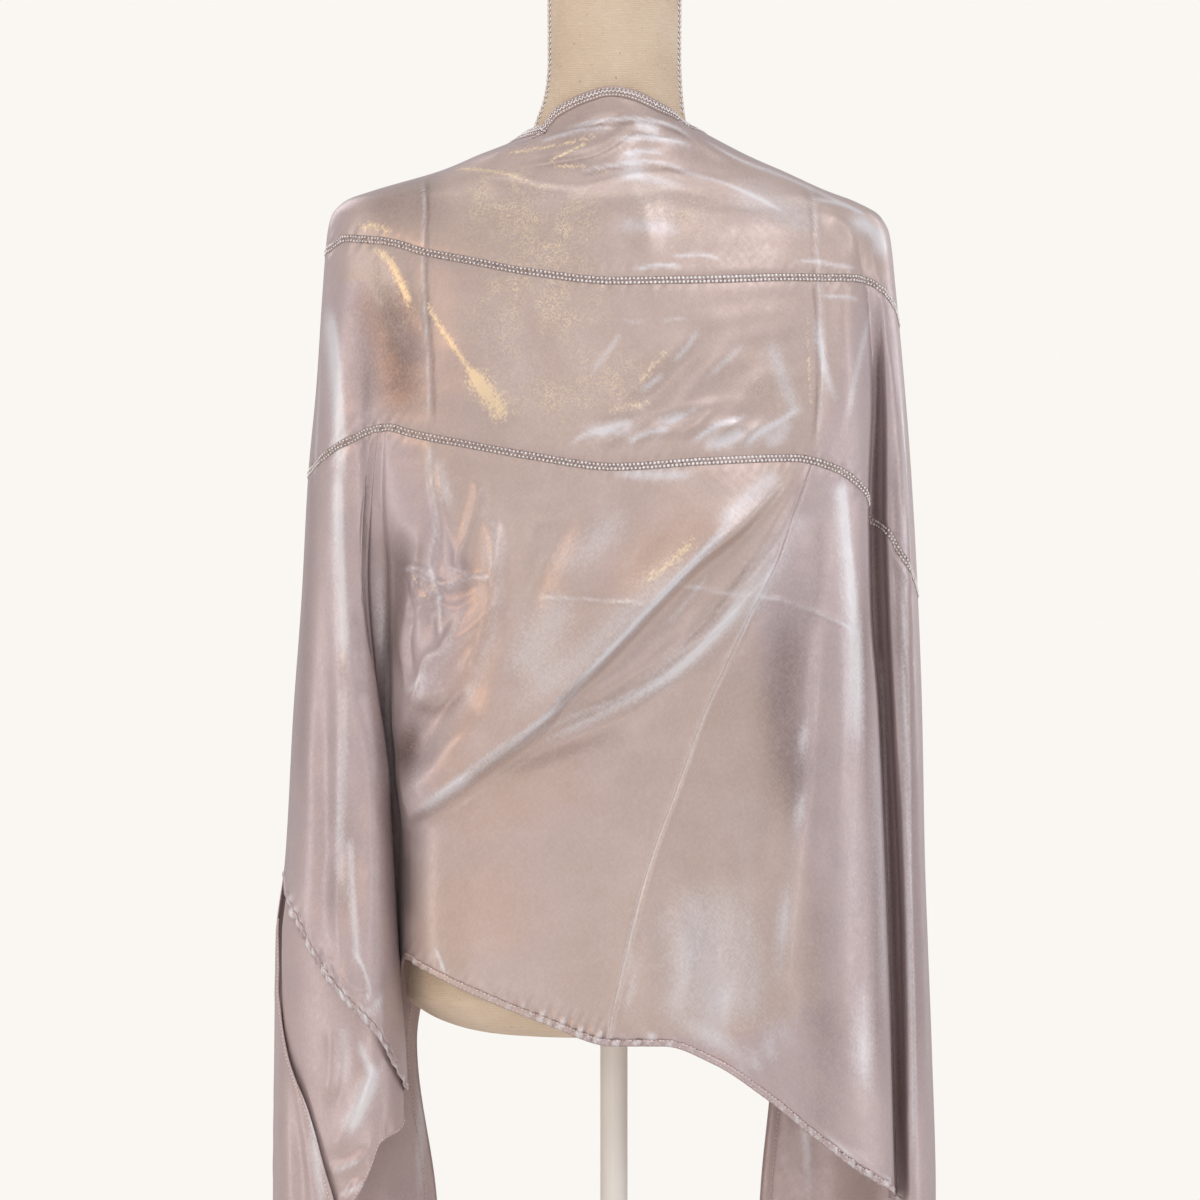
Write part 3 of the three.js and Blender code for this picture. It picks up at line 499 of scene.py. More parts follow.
def ripples(x, drop, seed, size):
    """Faint unevenness of hanging cloth: a few slanting waves of unequal length."""
    rng = np.random.default_rng(seed)
    total = np.zeros_like(x)
    for _ in range(7):
        angle = rng.uniform(0, np.pi)
        length = size * rng.uniform(0.7, 1.6)
        phase = rng.uniform(0, 2 * np.pi)
        total += np.sin(2 * np.pi * (x * np.cos(angle) + drop * np.sin(angle)) / length + phase)
    return total / 7


def back_relief(grid, normals):
    """The height of every fold over the cloth seen from behind."""
    x, drop = grid[..., 0], NAPE_HEIGHT - grid[..., 2]
    facing = smoothstep(0.12, 0.5, -normals[..., 1])
    height = relief(BACK_FOLDS, x, drop)
    height = height + 0.5 * ripples(x, drop, 3, 46) + 0.16 * ripples(x, drop, 8, 17)
    return facing * height


def station_columns(low, high, drops=(60, 140, 220, 300, 400, 500, 650)):
    """Stations between two, as close together as the grid asks where the cloth is widest."""
    marks = [low] + [s for s in range(LAST_STATION + 1) if low < s < high] + [high]
    columns = []
    for a, b in zip(marks[:-1], marks[1:]):
        track = np.stack([back_cloth(np.linspace(a, b, 9), d) for d in drops])
        longest = np.linalg.norm(np.diff(track, axis=1), axis=-1).sum(1).max()
        count = max(2, math.ceil(longest / GRID))
        columns.extend(np.linspace(a, b, count, endpoint=False))
    return np.array(columns + [high])


PANEL_LEFT, PANEL_RIGHT, JOIN_COLUMN = 8.0, 21.0, 18.45


def leaned(column, drop):
    """The station of a column of the lower panels' grid, which leans with the slanting join."""
    join = SLANTING_JOIN(drop)
    left = mix(PANEL_LEFT, join, (column - PANEL_LEFT) / (JOIN_COLUMN - PANEL_LEFT))
    right = mix(join, PANEL_RIGHT, (column - JOIN_COLUMN) / (PANEL_RIGHT - JOIN_COLUMN))
    inside = (column > PANEL_LEFT) & (column < PANEL_RIGHT)
    return np.where(inside, np.where(column <= JOIN_COLUMN, left, right), column)


def sewn_grid(columns, rows, top, bottom, leaning=True):
    """A grid of places between two sewn lines, and the station of each."""
    column, share = np.meshgrid(columns, rows)
    station = column.copy()
    for _ in range(14 if leaning else 1):
        drop = mix(top(station), bottom(station), share)
        station = leaned(column, drop) if leaning else column
    drop = mix(top(station), bottom(station), share)
    return back_cloth(station, drop), station, drop


def even(height):
    return np.linspace(0, 1, max(3, math.ceil(height / GRID)) + 1)


def make_mesh(name, points, faces, uvs=None, attributes=None, smooth=True):
    """An object from points in millimetres and a list of faces."""
    mesh = bpy.data.meshes.new(name)
    mesh.from_pydata((points * MM).tolist(), [], faces)
    mesh.polygons.foreach_set("use_smooth", [smooth] * len(mesh.polygons))
    corners = np.empty(len(mesh.loops), dtype=np.int32)
    mesh.loops.foreach_get("vertex_index", corners)
    if uvs is not None:
        layer = mesh.uv_layers.new(name="UVMap")
        layer.data.foreach_set("uv", (uvs[corners] * MM).ravel().astype(np.float32))
    for key, values in (attributes or {}).items():
        attribute = mesh.attributes.new(name=key, type="FLOAT", domain="POINT")
        attribute.data.foreach_set("value", values.astype(np.float32))
    mesh.update()
    piece = bpy.data.objects.new(name, mesh)
    bpy.context.scene.collection.objects.link(piece)
    return piece


def grid_faces(rows, columns, offset=0, flip=False):
    index = np.arange(rows * columns).reshape(rows, columns) + offset
    quads = np.stack([index[:-1, :-1], index[1:, :-1], index[1:, 1:], index[:-1, 1:]], -1).reshape(-1, 4)
    return quads[:, ::-1] if flip else quads


def rim_faces(rows, columns, offset):
    """Faces that close a shell's rim, between its outer grid and its inner one."""
    index = np.arange(rows * columns).reshape(rows, columns)
    ring = np.concatenate([index[0, :-1], index[:-1, -1], index[-1, :0:-1], index[:0:-1, 0]])
    after = np.roll(ring, -1)
    return np.stack([ring, after, after + offset, ring + offset], -1)


def shell(name, middle, normals, thickness, attributes):
    """A thin closed sheet whose two faces lie half its thickness either side of a grid of places."""
    rows, columns = middle.shape[:2]
    u = np.concatenate([[0], np.cumsum(np.linalg.norm(np.diff(middle, axis=1), axis=-1).mean(0))])
    v = np.concatenate([[0], np.cumsum(np.linalg.norm(np.diff(middle, axis=0), axis=-1).mean(1))])
    uv = np.stack(np.meshgrid(u, -v), -1).reshape(-1, 2)
    near = (middle + normals * thickness / 2).reshape(-1, 3)
    far = (middle - normals * thickness / 2).reshape(-1, 3)
    count = rows * columns
    faces = np.concatenate([
        grid_faces(rows, columns), grid_faces(rows, columns, count, flip=True),
        rim_faces(rows, columns, count)])
    doubled = {key: np.tile(values.ravel(), 2) for key, values in attributes.items()}
    return make_mesh(name, np.concatenate([near, far]), faces.tolist(), np.tile(uv, (2, 1)), doubled)


def over_form(grid):
    """1 where the linen form lies close behind the cloth and shows through it, 0 where it doesn't."""
    x, drop = grid[..., 0], NAPE_HEIGHT - grid[..., 2]
    half = np.where(drop < 140, OUTLINE["left"](drop) - 8, FORM["half"](drop))
    inside = smoothstep(-4, 14, half - np.abs(x))
    above_foot = 1 - smoothstep(684, 692, drop)
    return inside * above_foot


# Painted highlights, painted gold glints and gold sheen, a warm peach tint, and painted shade, as streaks with
# a width on each hand and a strength. They are placed like the folds.
PAINTED_HIGHLIGHTS = folds("""
# Nape and shoulder blades
4 4 .9 2 .3 .3  12,26 26,29 36,33
2 2.4 1 2 .2 .3  -2,38 20,36 44,38 62,44
1.6 2 .9 2 .3 .3  2,48 22,46 40,47
8 8 .6 2 .2 .2  10,44 14,56 16,68
4 4 .6 2 .3 .4  -10,66 14,65 38,69 62,78
12 12 .25 2 .3 .3  4,74 26,82 46,90
6 6 .6 2 .25 .3  -4,100 14,101 34,102 54,106
14 12 .5 2 .3 .3  76,74 104,82 132,94 150,112
5 7 1 2 .3 .3  166,94 182,98 194,108 197,128
1.6 1.6 .9 1.6 .2 .2  142,80 166,84 186,92
1.4 1.4 .8 1.6 .2 .2  60,34 92,52 130,66 168,84 186,92
# Beside the upper seam
1.5 1.7 .95 2 .2 .2  12,134 30,130 52,131
1.5 1.5 .8 2 .2 .2  40,124 62,122 78,126
1.2 1.2 .55 2 .2 .2  4,170 14,171 26,170
1.2 1.2 .55 2 .2 .2  33,171 44,169 54,168
1.6 1.6 .7 2 .2 .2  128,128 144,126 162,129 180,131
1.6 1.6 .8 2 .2 .2  150,152 164,152 180,154
# Glints on the drag lines between the seams
2 2.4 .6 2 .3 .3  -20,212 -6,194 8,175
1.8 2.2 .85 2 .3 .3  16,222 26,216 38,206
2 2.4 .7 2 .3 .3  40,202 52,190 62,174
2.2 2.4 .6 2 .3 .3  64,214 80,200 96,184
1.8 2 .6 2 .3 .3  34,246 48,240 66,230
6 7 .55 2 .3 .3  112,176 118,200 128,226 138,246
3 3 .75 2 .3 .3  146,160 150,190 156,214 163,236
2.4 2.4 .6 2 .3 .3  190,150 180,190 172,226 166,256
# The bright band over the lower seam
8 8 .3 2 .3 .3  -30,256 -8,250 14,246 30,240
3 3 .3 2 .3 .3  -28,246 6,252 18,262
2.5 2.5 .3 2 .3 .3  24,262 36,250 48,238
8 8 .3 2 .3 .3  60,262 84,256 108,250 132,252
3 3 .3 2 .3 .3  58,258 76,246 92,236
4 4 .8 2 .3 .3  -8,280 30,282 66,281
10 6 .65 2 .2 .3  122,276 108,288 88,306 70,322
1.6 2 .7 2 .25 .25  -34,262 -22,253 -3,248
3 4 .6 2 .25 .25  -14,256 -2,247 16,243
1.8 1.8 .9 2 .25 .25  10,264 16,255 34,249 44,250
4 3 .6 2 .25 .25  28,246 40,241 54,238
1.6 2 .9 2 .25 .25  52,262 70,248 92,240 98,234
5 4 .7 2 .25 .25  62,262 84,256 96,247
2 2.4 .9 2 .25 .25  92,265 104,252 124,240 138,230
6 5 .55 2 .25 .25  108,262 120,254 128,240
# Below the lower seam
1.2 1.4 .7 1.6 .1 .1  -134,252 -133,282 -129,316 -134,347 -127,372 -125,406
1.4 1.6 .55 1.6 .2 .1  -107,372 -115,392 -124,409 -135,415 -141,443 -146,449
1.2 1.2 .4 1.6 .1 .1  -157,350 -141,350 -124,361 -107,357 -86,356
6 7 .3 2 .2 .2  -84,300 -82,340 -86,380 -99,430 -135,486 -163,537
17 17 .5 2 .3 .3  -30,360 -44,384 -60,414 -70,440
14 14 .4 2 .3 .3  14,298 -8,326 -40,346 -58,356
3.4 2.2 .55 2 .1 .2  96,308 58,345 26,377 -7,412 -36,440 -54,462 -98,496 -150,534
4.6 2.2 .6 2 .2 .2  110,344 90,372 70,398 44,424 12,444 -30,464 -66,480
10 10 .3 2 .2 .3  140,300 120,340 104,372 84,404
1 1.1 .5 1.6 .05 .05  -56,370 -10,372 24,375
1 1.1 .6 1.6 .05 .05  44,360 74,366 104,369 137,377 152,383 179,396
1.2 1.2 .6 1.6 .03 .03  118,343 105,369 84,412 65,455 47,505 28,556 17,594 7,635 -7,700
1.1 1.1 .55 1.6 .05 .1  -140,62 -138,90 -139,120 -138,153 -135,200 -134,248
1.1 1.1 .55 1.6 .05 .1  140,68 146,84 148,137 150,175 151,212 147,262
8 12 .4 2 .3 .3  76,322 44,350 12,382 -20,412 -60,444 -100,476
10 12 .35 2 .3 .3  126,312 104,352 80,388 44,420 0,444
3 1.9 .55 2 .08 .15  90,305 62,339 46,356 16,389 -10,416 -36,446 -56,461 -98,490 -158,537
3 1.9 .4 2 .1 .2  100,369 76,394 48,418 12,440 -39,460 -67,477 -98,500
1.8 1.8 .4 2 .2 .2  70,352 54,372 36,392
1.2 1.2 .6 1.8 .1 .1  177,584 179,640 178,700 176,744
1 1.4 .6 1.8 .1 .1  195,400 199,480 201,600 203,720
1.2 1.2 .7 1.8 .2 .2  132,648 131,664 128,680
# Nape wrinkles
1.6 1.6 .8 2 .2 .2  -40,30 -10,24 20,22 44,28 62,40
1.6 1.6 .7 2 .2 .2  -58,40 -26,31 4,29
1.6 1.6 .7 2 .2 .2  -30,62 0,56 30,54 60,62
1.6 1.6 .6 2 .2 .2  40,60 70,66 104,80 128,94
# Along the hem
7 7 .45 2 .3 .3  40,676 62,684 80,694 102,712
1.4 1.4 .9 2 .3 .3  -131,622 -126,633 -121,647
# The right panel's long streaks
2.6 7 1.25 1.8 .06 .25  166,282 169,320 173,360 176,400 176,440 175,500
2 4 .4 1.8 .3 .3  175,470 173,540 170,600 166,660
1.6 3 .9 1.8 .2 .2  178,620 181,680 180,730 174,780
2 4 .45 1.8 .3 .3  188,420 192,520 195,620 198,720
1.6 2.4 .7 1.6 .2 .2  139,430 136,500 132,560 122,610 116,660
1.6 1.6 .6 1.6 .2 .2  144,600 141,640 134,690
# The soft bright fall right of the join
34 34 .55 2 .3 .3  50,566 66,610 72,650 60,700
5 9 .3 2 .3 .3  56,606 52,640 44,668 40,690
2.6 2.6 .75 2 .3 .3  100,596 99,630 96,664 90,690
6 8 .35 2 .3 .3  88,640 78,668 70,700 62,712
5 6 .5 2 .3 .3  124,668 118,690 104,706 84,716
3 3 .5 2 .3 .3  16,620 12,650 6,676
# Beside the left fold
1.2 1.2 .4 1.8 .2 .2  -154,350 -146,352 -132,360
1.2 1.2 .4 1.8 .2 .2  -136,378 -126,372 -112,352
1.1 1.1 .5 1.8 .2 .2  -124,346 -104,354 -86,356
1.6 1.6 .9 1.8 .2 .2  -150,440 -146,436 -138,424
3 4 .3 2 .3 .3  -108,400 -122,414 -136,436 -144,452
5 5 .5 2 .3 .3  -128,262 -126,280 -118,310
6 6 .25 2 .3 .3  -92,300 -88,330 -92,360
4 5 .6 2 .3 .3  -98,496 -120,512 -146,530
# The left tail
3.4 6.5 1.3 1.8 .2 .2  -208,150 -203,190 -199,240 -197,290
2.6 6 1.15 1.8 .15 .2  -199,270 -199,320 -197,372 -195,430
2.6 5 .6 1.8 .2 .2  -195,410 -196,480 -198,560 -195,600
2.2 3.4 .85 1.8 .15 .2  -192,540 -190,580 -187,620 -185,645
1.2 1.2 .6 1.6 .1 .2  -212,124 -214,170 -216,230 -219,300
4 5 .4 2 .3 .3  -172,330 -168,400 -163,470 -160,540
1.6 1.6 .9 1.6 .2 .2  -190,626 -182,640 -178,656 -182,668
2.4 2.4 .7 1.8 .3 .3  -186,672 -178,674 -170,664 -168,654
2.6 2.6 .9 1.8 .2 .2  -204,652 -198,662 -190,676
# The right tail
1.3 1.7 .8 1.6 .1 .1  204,134 208,170 211,240 213,314 212,402 214,500 216,600 218,700 219,810
3 3 .25 2 .3 .2  222,330 225,450 228,600 231,760
""")
# Painted gold glints: warm highlights painted into the colour
PAINTED_GOLD_GLINTS = folds("""
2.2 2.6 .95 2 .1 .1  -136,152 -131,166 -119,184 -104,206 -90,226
8 9 1.05 2 .3 .25  -108,202 -96,216 -86,230 -76,246
3 4 .95 2 .15 .3  -176,114 -164,124 -156,138 -149,154 -145,168
3.5 3.5 .7 2 .2 .2  -188,102 -174,100 -160,106
1.2 1.3 .9 1.6 .2 .2  -84,48 -50,43 -26,38 -6,32
1.2 1.3 .9 1.6 .2 .2  -50,55 -34,47 -16,38
1.6 2 .85 1.6 .2 .3  -122,57 -92,60 -70,65 -54,72
1.2 1.3 .8 1.6 .2 .2  -50,56 -24,58 2,61
3 3 .5 2 .3 .3  10,226 26,206 44,186
3 3 .5 2 .3 .3  -10,238 10,232 34,230
3 5 .75 2 .2 .3  18,360 34,350 52,334 64,322
1.4 1.4 .7 1.6 .2 .2  -10,372 8,373 24,375
1.4 1.4 .6 1.6 .2 .2  140,160 141,200 143,240
1.6 1.6 .5 1.6 .2 .2  -148,352 -140,362 -134,376
""")
# Painted gold sheen: broad patches where golden glints are painted along stray threads
PAINTED_GOLD_SHEEN = folds("""
30 44 .9 2 .3 .3  -130,92 -90,84 -40,96 0,120
34 40 .8 2 .3 .3  -118,150 -80,160 -40,156 10,160
20 24 .7 2 .3 .3  -96,226 -50,222 0,214 50,200
24 24 .6 2 .3 .3  0,84 40,90 90,110
16 16 .5 2 .3 .3  -180,110 -160,150 -150,190
10 10 .5 2 .3 .3  0,370 30,352 60,326
14 14 .4 2 .3 .3  70,190 110,220 140,240
""")
PEACH = folds("""
20 60 .5 2 .3 .3  10,496 -40,512 -90,530 -140,552
20 24 .9 2 .3 .3  80,300 46,330 18,358 0,384
16 18 .8 2 .3 .3  -86,300 -88,350 -100,410 -120,470 -140,510
40 40 .6 2 .3 .3  -116,560 -96,600 -80,640
10 12 .7 2 .3 .3  -160,120 -156,180 -160,240 -166,270
14 14 .5 2 .3 .3  90,660 80,690 70,710
""")
# Painted shade: darker where hollows, grooves and the flanks of folds lie in shade
SHADE = folds("""
18 22 .22 2 .3 .3  -156,140 -154,200 -158,252
16 20 .3 2 .3 .3  138,380 134,450 140,540
10 12 .6 2 .3 .3  -142,440 -150,470 -154,500
10 12 .3 2 .3 .3  -120,350 -128,380 -118,410
14 14 .35 2 .3 .3  -202,500 -202,560 -200,620
7 9 .4 2 .2 .2  212,330 216,450 220,600 224,760
1.6 3 .5 2 .08 .15  88,310 60,343 44,360 14,393 -12,420 -38,450 -58,465 -100,494 -158,541
1.6 1.8 .5 2 .2 .2  -40,33 -10,27 20,25 44,31 62,43
1.6 1.8 .5 2 .2 .2  -30,65 0,59 30,57 60,65
5 7 .3 2 .3 .3  66,600 60,628 48,650
6 8 .3 2 .3 .3  88,610 84,650 74,680
17 20 .85 2 .3 .3  -168,128 -160,170 -154,210 -156,250
9 10 .35 2 .3 .3  -186,128 -182,180 -180,240
24 26 .5 2 .3 .3  -190,86 -150,74 -116,68
20 18 .28 2 .3 .3  -88,40 -30,30 40,26 84,48 128,66
5 8 .4 2 .3 .3  -60,48 -34,52 -10,50
14 16 .6 2 .3 .3  136,352 126,400 120,450 128,510 134,560
5 5 .4 2 .2 .3  150,310 148,360 140,410
4 6 .6 2 .2 .2  184,330 182,400 184,470 188,560 192,660 196,760
8 8 .35 2 .3 .3  150,560 148,640 146,720
14 14 .3 2 .3 .3  160,640 158,700 150,760 140,780
1.4 1.8 .65 2 .1 .15  84,322 54,351 22,383 -10,416 -39,444 -57,466 -101,500 -152,538
1.2 1.8 .5 2 .2 .2  104,338 84,366 66,390 44,410
5 9 .35 2 .3 .3  -92,500 -50,486 -14,476 20,466
7 8 .4 2 .3 .3  62,402 30,432 -10,452 -60,476
1.2 1.4 .6 1.8 .05 .1  -137,62 -135,90 -136,120 -135,153 -131,200 -130,248
1.2 1.4 .6 1.8 .05 .1  137,70 143,86 145,137 147,175 148,212 144,262
7 6 .45 2 .2 .2  -176,338 -172,400 -169,460 -165,530 -160,600 -157,680
8 10 .75 2 .3 .3  -152,306 -156,350 -158,400 -152,440
9 10 .8 2 .3 .3  -136,456 -146,478 -152,504 -156,526
5 5 .6 2 .3 .3  -146,444 -140,450 -126,452 -104,436
4 5 .5 2 .3 .3  -110,336 -106,356 -112,378
3 3 .45 2 .3 .3  -140,320 -142,350 -146,380
6 6 .6 2 .3 .3  -152,548 -150,580 -149,612
6 7 .4 2 .3 .3  -178,180 -180,260 -178,330
6 6 .35 2 .3 .2  -216,200 -222,300 -226,420 -230,540
2 2 .4 2 .2 .2  -188,630 -180,646 -182,664
2.4 3 1 2 .1 .1  192,150 193,220 192,300 194,372 198,455 203,540 206,623 209,720 211,806
4 4 .5 2 .3 .2  204,250 206,340 208,440
""")


def painted(grid, facing):
    """The painted highlights, gold glints and gold sheen, the warm tints and the painted shade at each place.
    """
    x, drop = grid[..., 0], NAPE_HEIGHT - grid[..., 2]
    streaks = {"lustre": PAINTED_HIGHLIGHTS, "gold": PAINTED_GOLD_GLINTS, "shimmer": PAINTED_GOLD_SHEEN, "peach": PEACH, "shade": SHADE}
    tones = {name: facing * relief(some, x, drop) for name, some in streaks.items()}
    # Cloth that turns aside from -Y gets extra painted shade
    tones["shade"] = tones["shade"] + 0.4 * (1 - facing)
    tones["form"] = over_form(grid) * facing
    return tones


def displaced(columns, rows, top, bottom, leaning):
    """The finished places of a stretch of the back cloth, their normals, and the painted tones there."""
    grid, station, drop = sewn_grid(columns, rows, top, bottom, leaning)
    normals = grid_normals(grid)
    gathers = pucker(grid, station, drop, normals)
    grid = grid + normals * (back_relief(grid, normals) + gathers)[..., None]
    normals = grid_normals(grid)
    tones = painted(grid, smoothstep(0.0, 0.3, -normals[..., 1]))
    # Painted glints on the gathers by the seams and the hem
    tones["lustre"] = tones["lustre"] + 0.9 * smoothstep(0.35, 1.3, gathers)
    return grid, normals, tones


class Nodes:
    """A material's nodes, added and joined in few words."""

    def __init__(self, name):
        self.material = bpy.data.materials.new(name)
        self.material.use_nodes = True
        self.tree = self.material.node_tree
        self.tree.nodes.clear()
        self.output = self.add("ShaderNodeOutputMaterial")

    def add(self, kind, inputs=None, **settings):
        node = self.tree.nodes.new(kind)
        for key, value in settings.items():
            setattr(node, key, value)
        for key, value in (inputs or {}).items():
            if isinstance(value, bpy.types.NodeSocket):
                self.tree.links.new(value, node.inputs[key])
            else:
                node.inputs[key].default_value = value
        return node

    def place(self):
        return self.add("ShaderNodeTexCoord").outputs["Object"]

    def maths(self, operation, a, b=0.0):
        return self.add("ShaderNodeMath", {0: a, 1: b}, operation=operation).outputs[0]

    def times(self, a, b):
        return self.maths("MULTIPLY", a, b)

    def blend(self, share, a, b):
        return self.add("ShaderNodeMix", {0: share, 6: a, 7: b}, data_type="RGBA").outputs[2]

    def bump(self, height, strength, distance):
        inputs = {"Strength": strength, "Distance": distance, "Height": height}
        return self.add("ShaderNodeBump", inputs).outputs[0]

    def ramp(self, value, *stops):
        node = self.add("ShaderNodeValToRGB", {0: value})
        ramp = node.color_ramp
        while len(ramp.elements) < len(stops):
            ramp.elements.new(0.5)
        for element, (place, level) in zip(ramp.elements, stops):
            element.position = place
            element.color = (level, level, level, 1)
        return node.outputs[0]

    def noise(self, scale, detail=3.0, vector=None, roughness=0.5):
        inputs = {"Scale": scale, "Detail": detail, "Roughness": roughness}
        if vector is not None:
            inputs["Vector"] = vector
        return self.add("ShaderNodeTexNoise", inputs).outputs[0]

    def finish(self, shader):
        self.tree.links.new(shader, self.output.inputs[0])
        return self.material

    def principled(self, inputs):
        return self.finish(self.add("ShaderNodeBsdfPrincipled", inputs).outputs[0])


def srgb(r, g, b):
    """A colour as seen, from 0 to 255, as a linear colour."""
    def line(value):
        value /= 255
        return value / 12.92 if value <= 0.04045 else ((value + 0.055) / 1.055) ** 2.4
    return (line(r), line(g), line(b), 1.0)


def crossed_threads(n, place, scale):
    """Short fine strokes that cross each other, as crinkled metal threads do."""
    strokes = []
    for lean in (0.75, -0.7):
        laid = n.add("ShaderNodeMapping", {0: place, 2: (0.0, lean, 0.0), 3: (1.0, 1.0, 3.0)},
                     vector_type="TEXTURE").outputs[0]
        strokes.append(n.noise(scale, 2.0, laid, 0.6))
    return n.times(n.maths("ADD", *strokes), 0.5)


def hairlines(n, place, scale, width):
    """Thin wandering lines, as stray metal threads catch the light."""
    off_middle = n.maths("ABSOLUTE", n.maths("SUBTRACT", n.noise(scale, 2.5, place, 0.6), 0.5))
    return n.ramp(off_middle, (0.0, 1.0), (width, 0.0))


def over(n, streak, strokes, fuzz, low, high):
    """A streak broken up at its edges by the fine strokes."""
    broken = n.maths("ADD", streak, n.times(n.maths("SUBTRACT", strokes, 0.5), fuzz))
    return n.times(n.ramp(broken, (low, 0.0), (high, 1.0)), n.ramp(streak, (0.02, 0.0), (0.2, 1.0)))


def satin_material():
    """Thin satin woven with metal thread: warm where the form shows through, cooler where it hangs free.
    Painted highlights, gold glints, gold sheen, sparkle and shade are mixed into its colour.
    """
    n = Nodes("liquid_satin")
    place = n.place()
    form, lustre, gold, shimmer, peach, shade = (
        n.add("ShaderNodeAttribute", attribute_name=name).outputs["Fac"]
        for name in ("form", "lustre", "gold", "shimmer", "peach", "shade"))
    strokes = crossed_threads(n, place, 780.0)
    coarse = crossed_threads(n, place, 300.0)
    clouds = n.noise(11.0, 3.0, place)
    cool, warm = srgb(184, 167, 168), srgb(188, 168, 158)
    body = n.blend(n.times(form, n.ramp(clouds, (0.3, 0.6), (0.7, 1.0))), cool, warm)
    body = n.blend(n.times(peach, 0.6), body, srgb(199, 166, 148))
    body = n.blend(n.ramp(n.noise(34.0, 3.0, place), (0.4, 0.0), (0.75, 0.35)), body, srgb(200, 183, 178))
    # Painted shade: the shade tone darkens the colour
    body = n.blend(n.times(shade, 0.7), body, srgb(108, 88, 84))
    # Painted gold sheen: golden glints painted along stray threads
    threads = hairlines(n, place, 360.0, 0.05)
    patchy = n.ramp(n.noise(60.0, 2.0, place), (0.38, 0.25), (0.62, 1.0))
    painted_gold_threads = n.times(n.times(shimmer, patchy), threads)
    body = n.blend(n.times(painted_gold_threads, 0.95), body, srgb(236, 214, 178))
    # Painted gold glints
    body = n.blend(n.times(over(n, gold, strokes, 3.0, 0.3, 1.5), 0.95), body, srgb(237, 213, 176))
    # Painted highlights, soft and broken up at their edges
    smooth, broken = n.ramp(lustre, (0.0, 0.0), (1.0, 0.42)), over(n, lustre, strokes, 1.5, 0.15, 1.1)
    glow = n.maths("ADD", smooth, n.times(broken, 0.5))
    body = n.blend(glow, body, srgb(218, 215, 218))
    # Painted sparkle: pale specks where the crossed strokes stand high
    painted_sparkle = n.ramp(strokes, (0.42, 0.0), (0.62, 0.12))
    colour = n.blend(painted_sparkle, body, srgb(232, 222, 218))
    height = n.maths("ADD", n.times(strokes, 0.4), n.times(coarse, 0.6))
    bump = n.bump(height, 0.28, 0.0008)
    tangent = n.add("ShaderNodeTangent", direction_type="UV_MAP", uv_map="UVMap").outputs[0]
    rough = n.ramp(coarse, (0.35, 0.31), (0.65, 0.43))
    return n.principled({
        "Base Color": colour, "Metallic": 0.38, "Roughness": rough, "Normal": bump, "Tangent": tangent,
        "Anisotropic": 0.35, "Specular IOR Level": 0.4, "Specular Tint": (0.6, 0.55, 0.55, 1.0),
        "Sheen Weight": 0.06, "Sheen Roughness": 0.4})


def thread_material(name, dark, pale, scale=1400.0):
    """Twisted shiny thread."""
    n = Nodes(name)
    place = n.place()
    strands = n.noise(scale, 2.0, place)
    colour = n.blend(n.ramp(strands, (0.35, 0.0), (0.65, 1.0)), dark, pale)
    bump = n.bump(strands, 0.4, 0.0002)
    return n.principled({
        "Base Color": colour, "Metallic": 0.1, "Roughness": 0.3, "Normal": bump, "Specular IOR Level": 0.7})


def linen_material():
    """Plain woven natural linen: two sets of threads, slubs, and a few dark flecks."""
    n = Nodes("natural_linen")
    place = n.place()
    uv = n.add("ShaderNodeUVMap", uv_map="UVMap").outputs[0]
    warp = n.add("ShaderNodeTexWave", {"Vector": uv, "Scale": 260.0, "Distortion": 1.2, "Detail": 2.0,
                                       "Detail Scale": 2.0}, bands_direction="X").outputs["Fac"]
    weft = n.add("ShaderNodeTexWave", {"Vector": uv, "Scale": 240.0, "Distortion": 1.5, "Detail": 2.0,
                                       "Detail Scale": 2.0}, bands_direction="Y").outputs["Fac"]
    threads = n.maths("MAXIMUM", warp, weft)
    slub = n.noise(90.0, 4.0, n.add("ShaderNodeMapping", {0: uv, 3: (1.0, 7.0, 1.0)}).outputs[0], 0.6)
    blotch = n.noise(14.0, 3.0, place)
    fleck = n.noise(420.0, 2.0, place, 0.5)
    base = n.blend(n.ramp(blotch, (0.3, 0.0), (0.7, 1.0)), srgb(210, 187, 161), srgb(234, 215, 192))
    woven = n.blend(n.ramp(threads, (0.2, 0.4), (0.8, 0.0)), base, srgb(182, 158, 132))
    slubbed = n.blend(n.ramp(slub, (0.5, 0.0), (0.75, 0.35)), woven, srgb(240, 231, 212))
    colour = n.blend(n.ramp(fleck, (0.68, 0.0), (0.76, 0.55)), slubbed, srgb(120, 98, 74))
    height = n.maths("ADD", threads, n.times(slub, 0.8))
    bump = n.bump(height, 0.5, 0.0005)
    return n.principled({
        "Base Color": colour, "Roughness": 0.92, "Normal": bump, "Sheen Weight": 0.15,
        "Specular IOR Level": 0.2})


def paint_material():
    """Off-white powder coat with a faint grain."""
    n = Nodes("off_white_paint")
    place = n.place()
    grain = n.noise(900.0, 3.0, place)
    wear = n.noise(12.0, 4.0, place)
    colour = n.blend(n.ramp(wear, (0.35, 0.0), (0.75, 0.5)), srgb(238, 234, 228), srgb(228, 223, 216))
    bump = n.bump(grain, 0.15, 0.0003)
    rough = n.ramp(grain, (0.3, 0.35), (0.7, 0.5))
    return n.principled({
        "Base Color": colour, "Roughness": rough, "Normal": bump, "Specular IOR Level": 0.3})


SATIN = satin_material()
THREAD = thread_material("silver_thread", srgb(228, 222, 220), srgb(255, 253, 252))
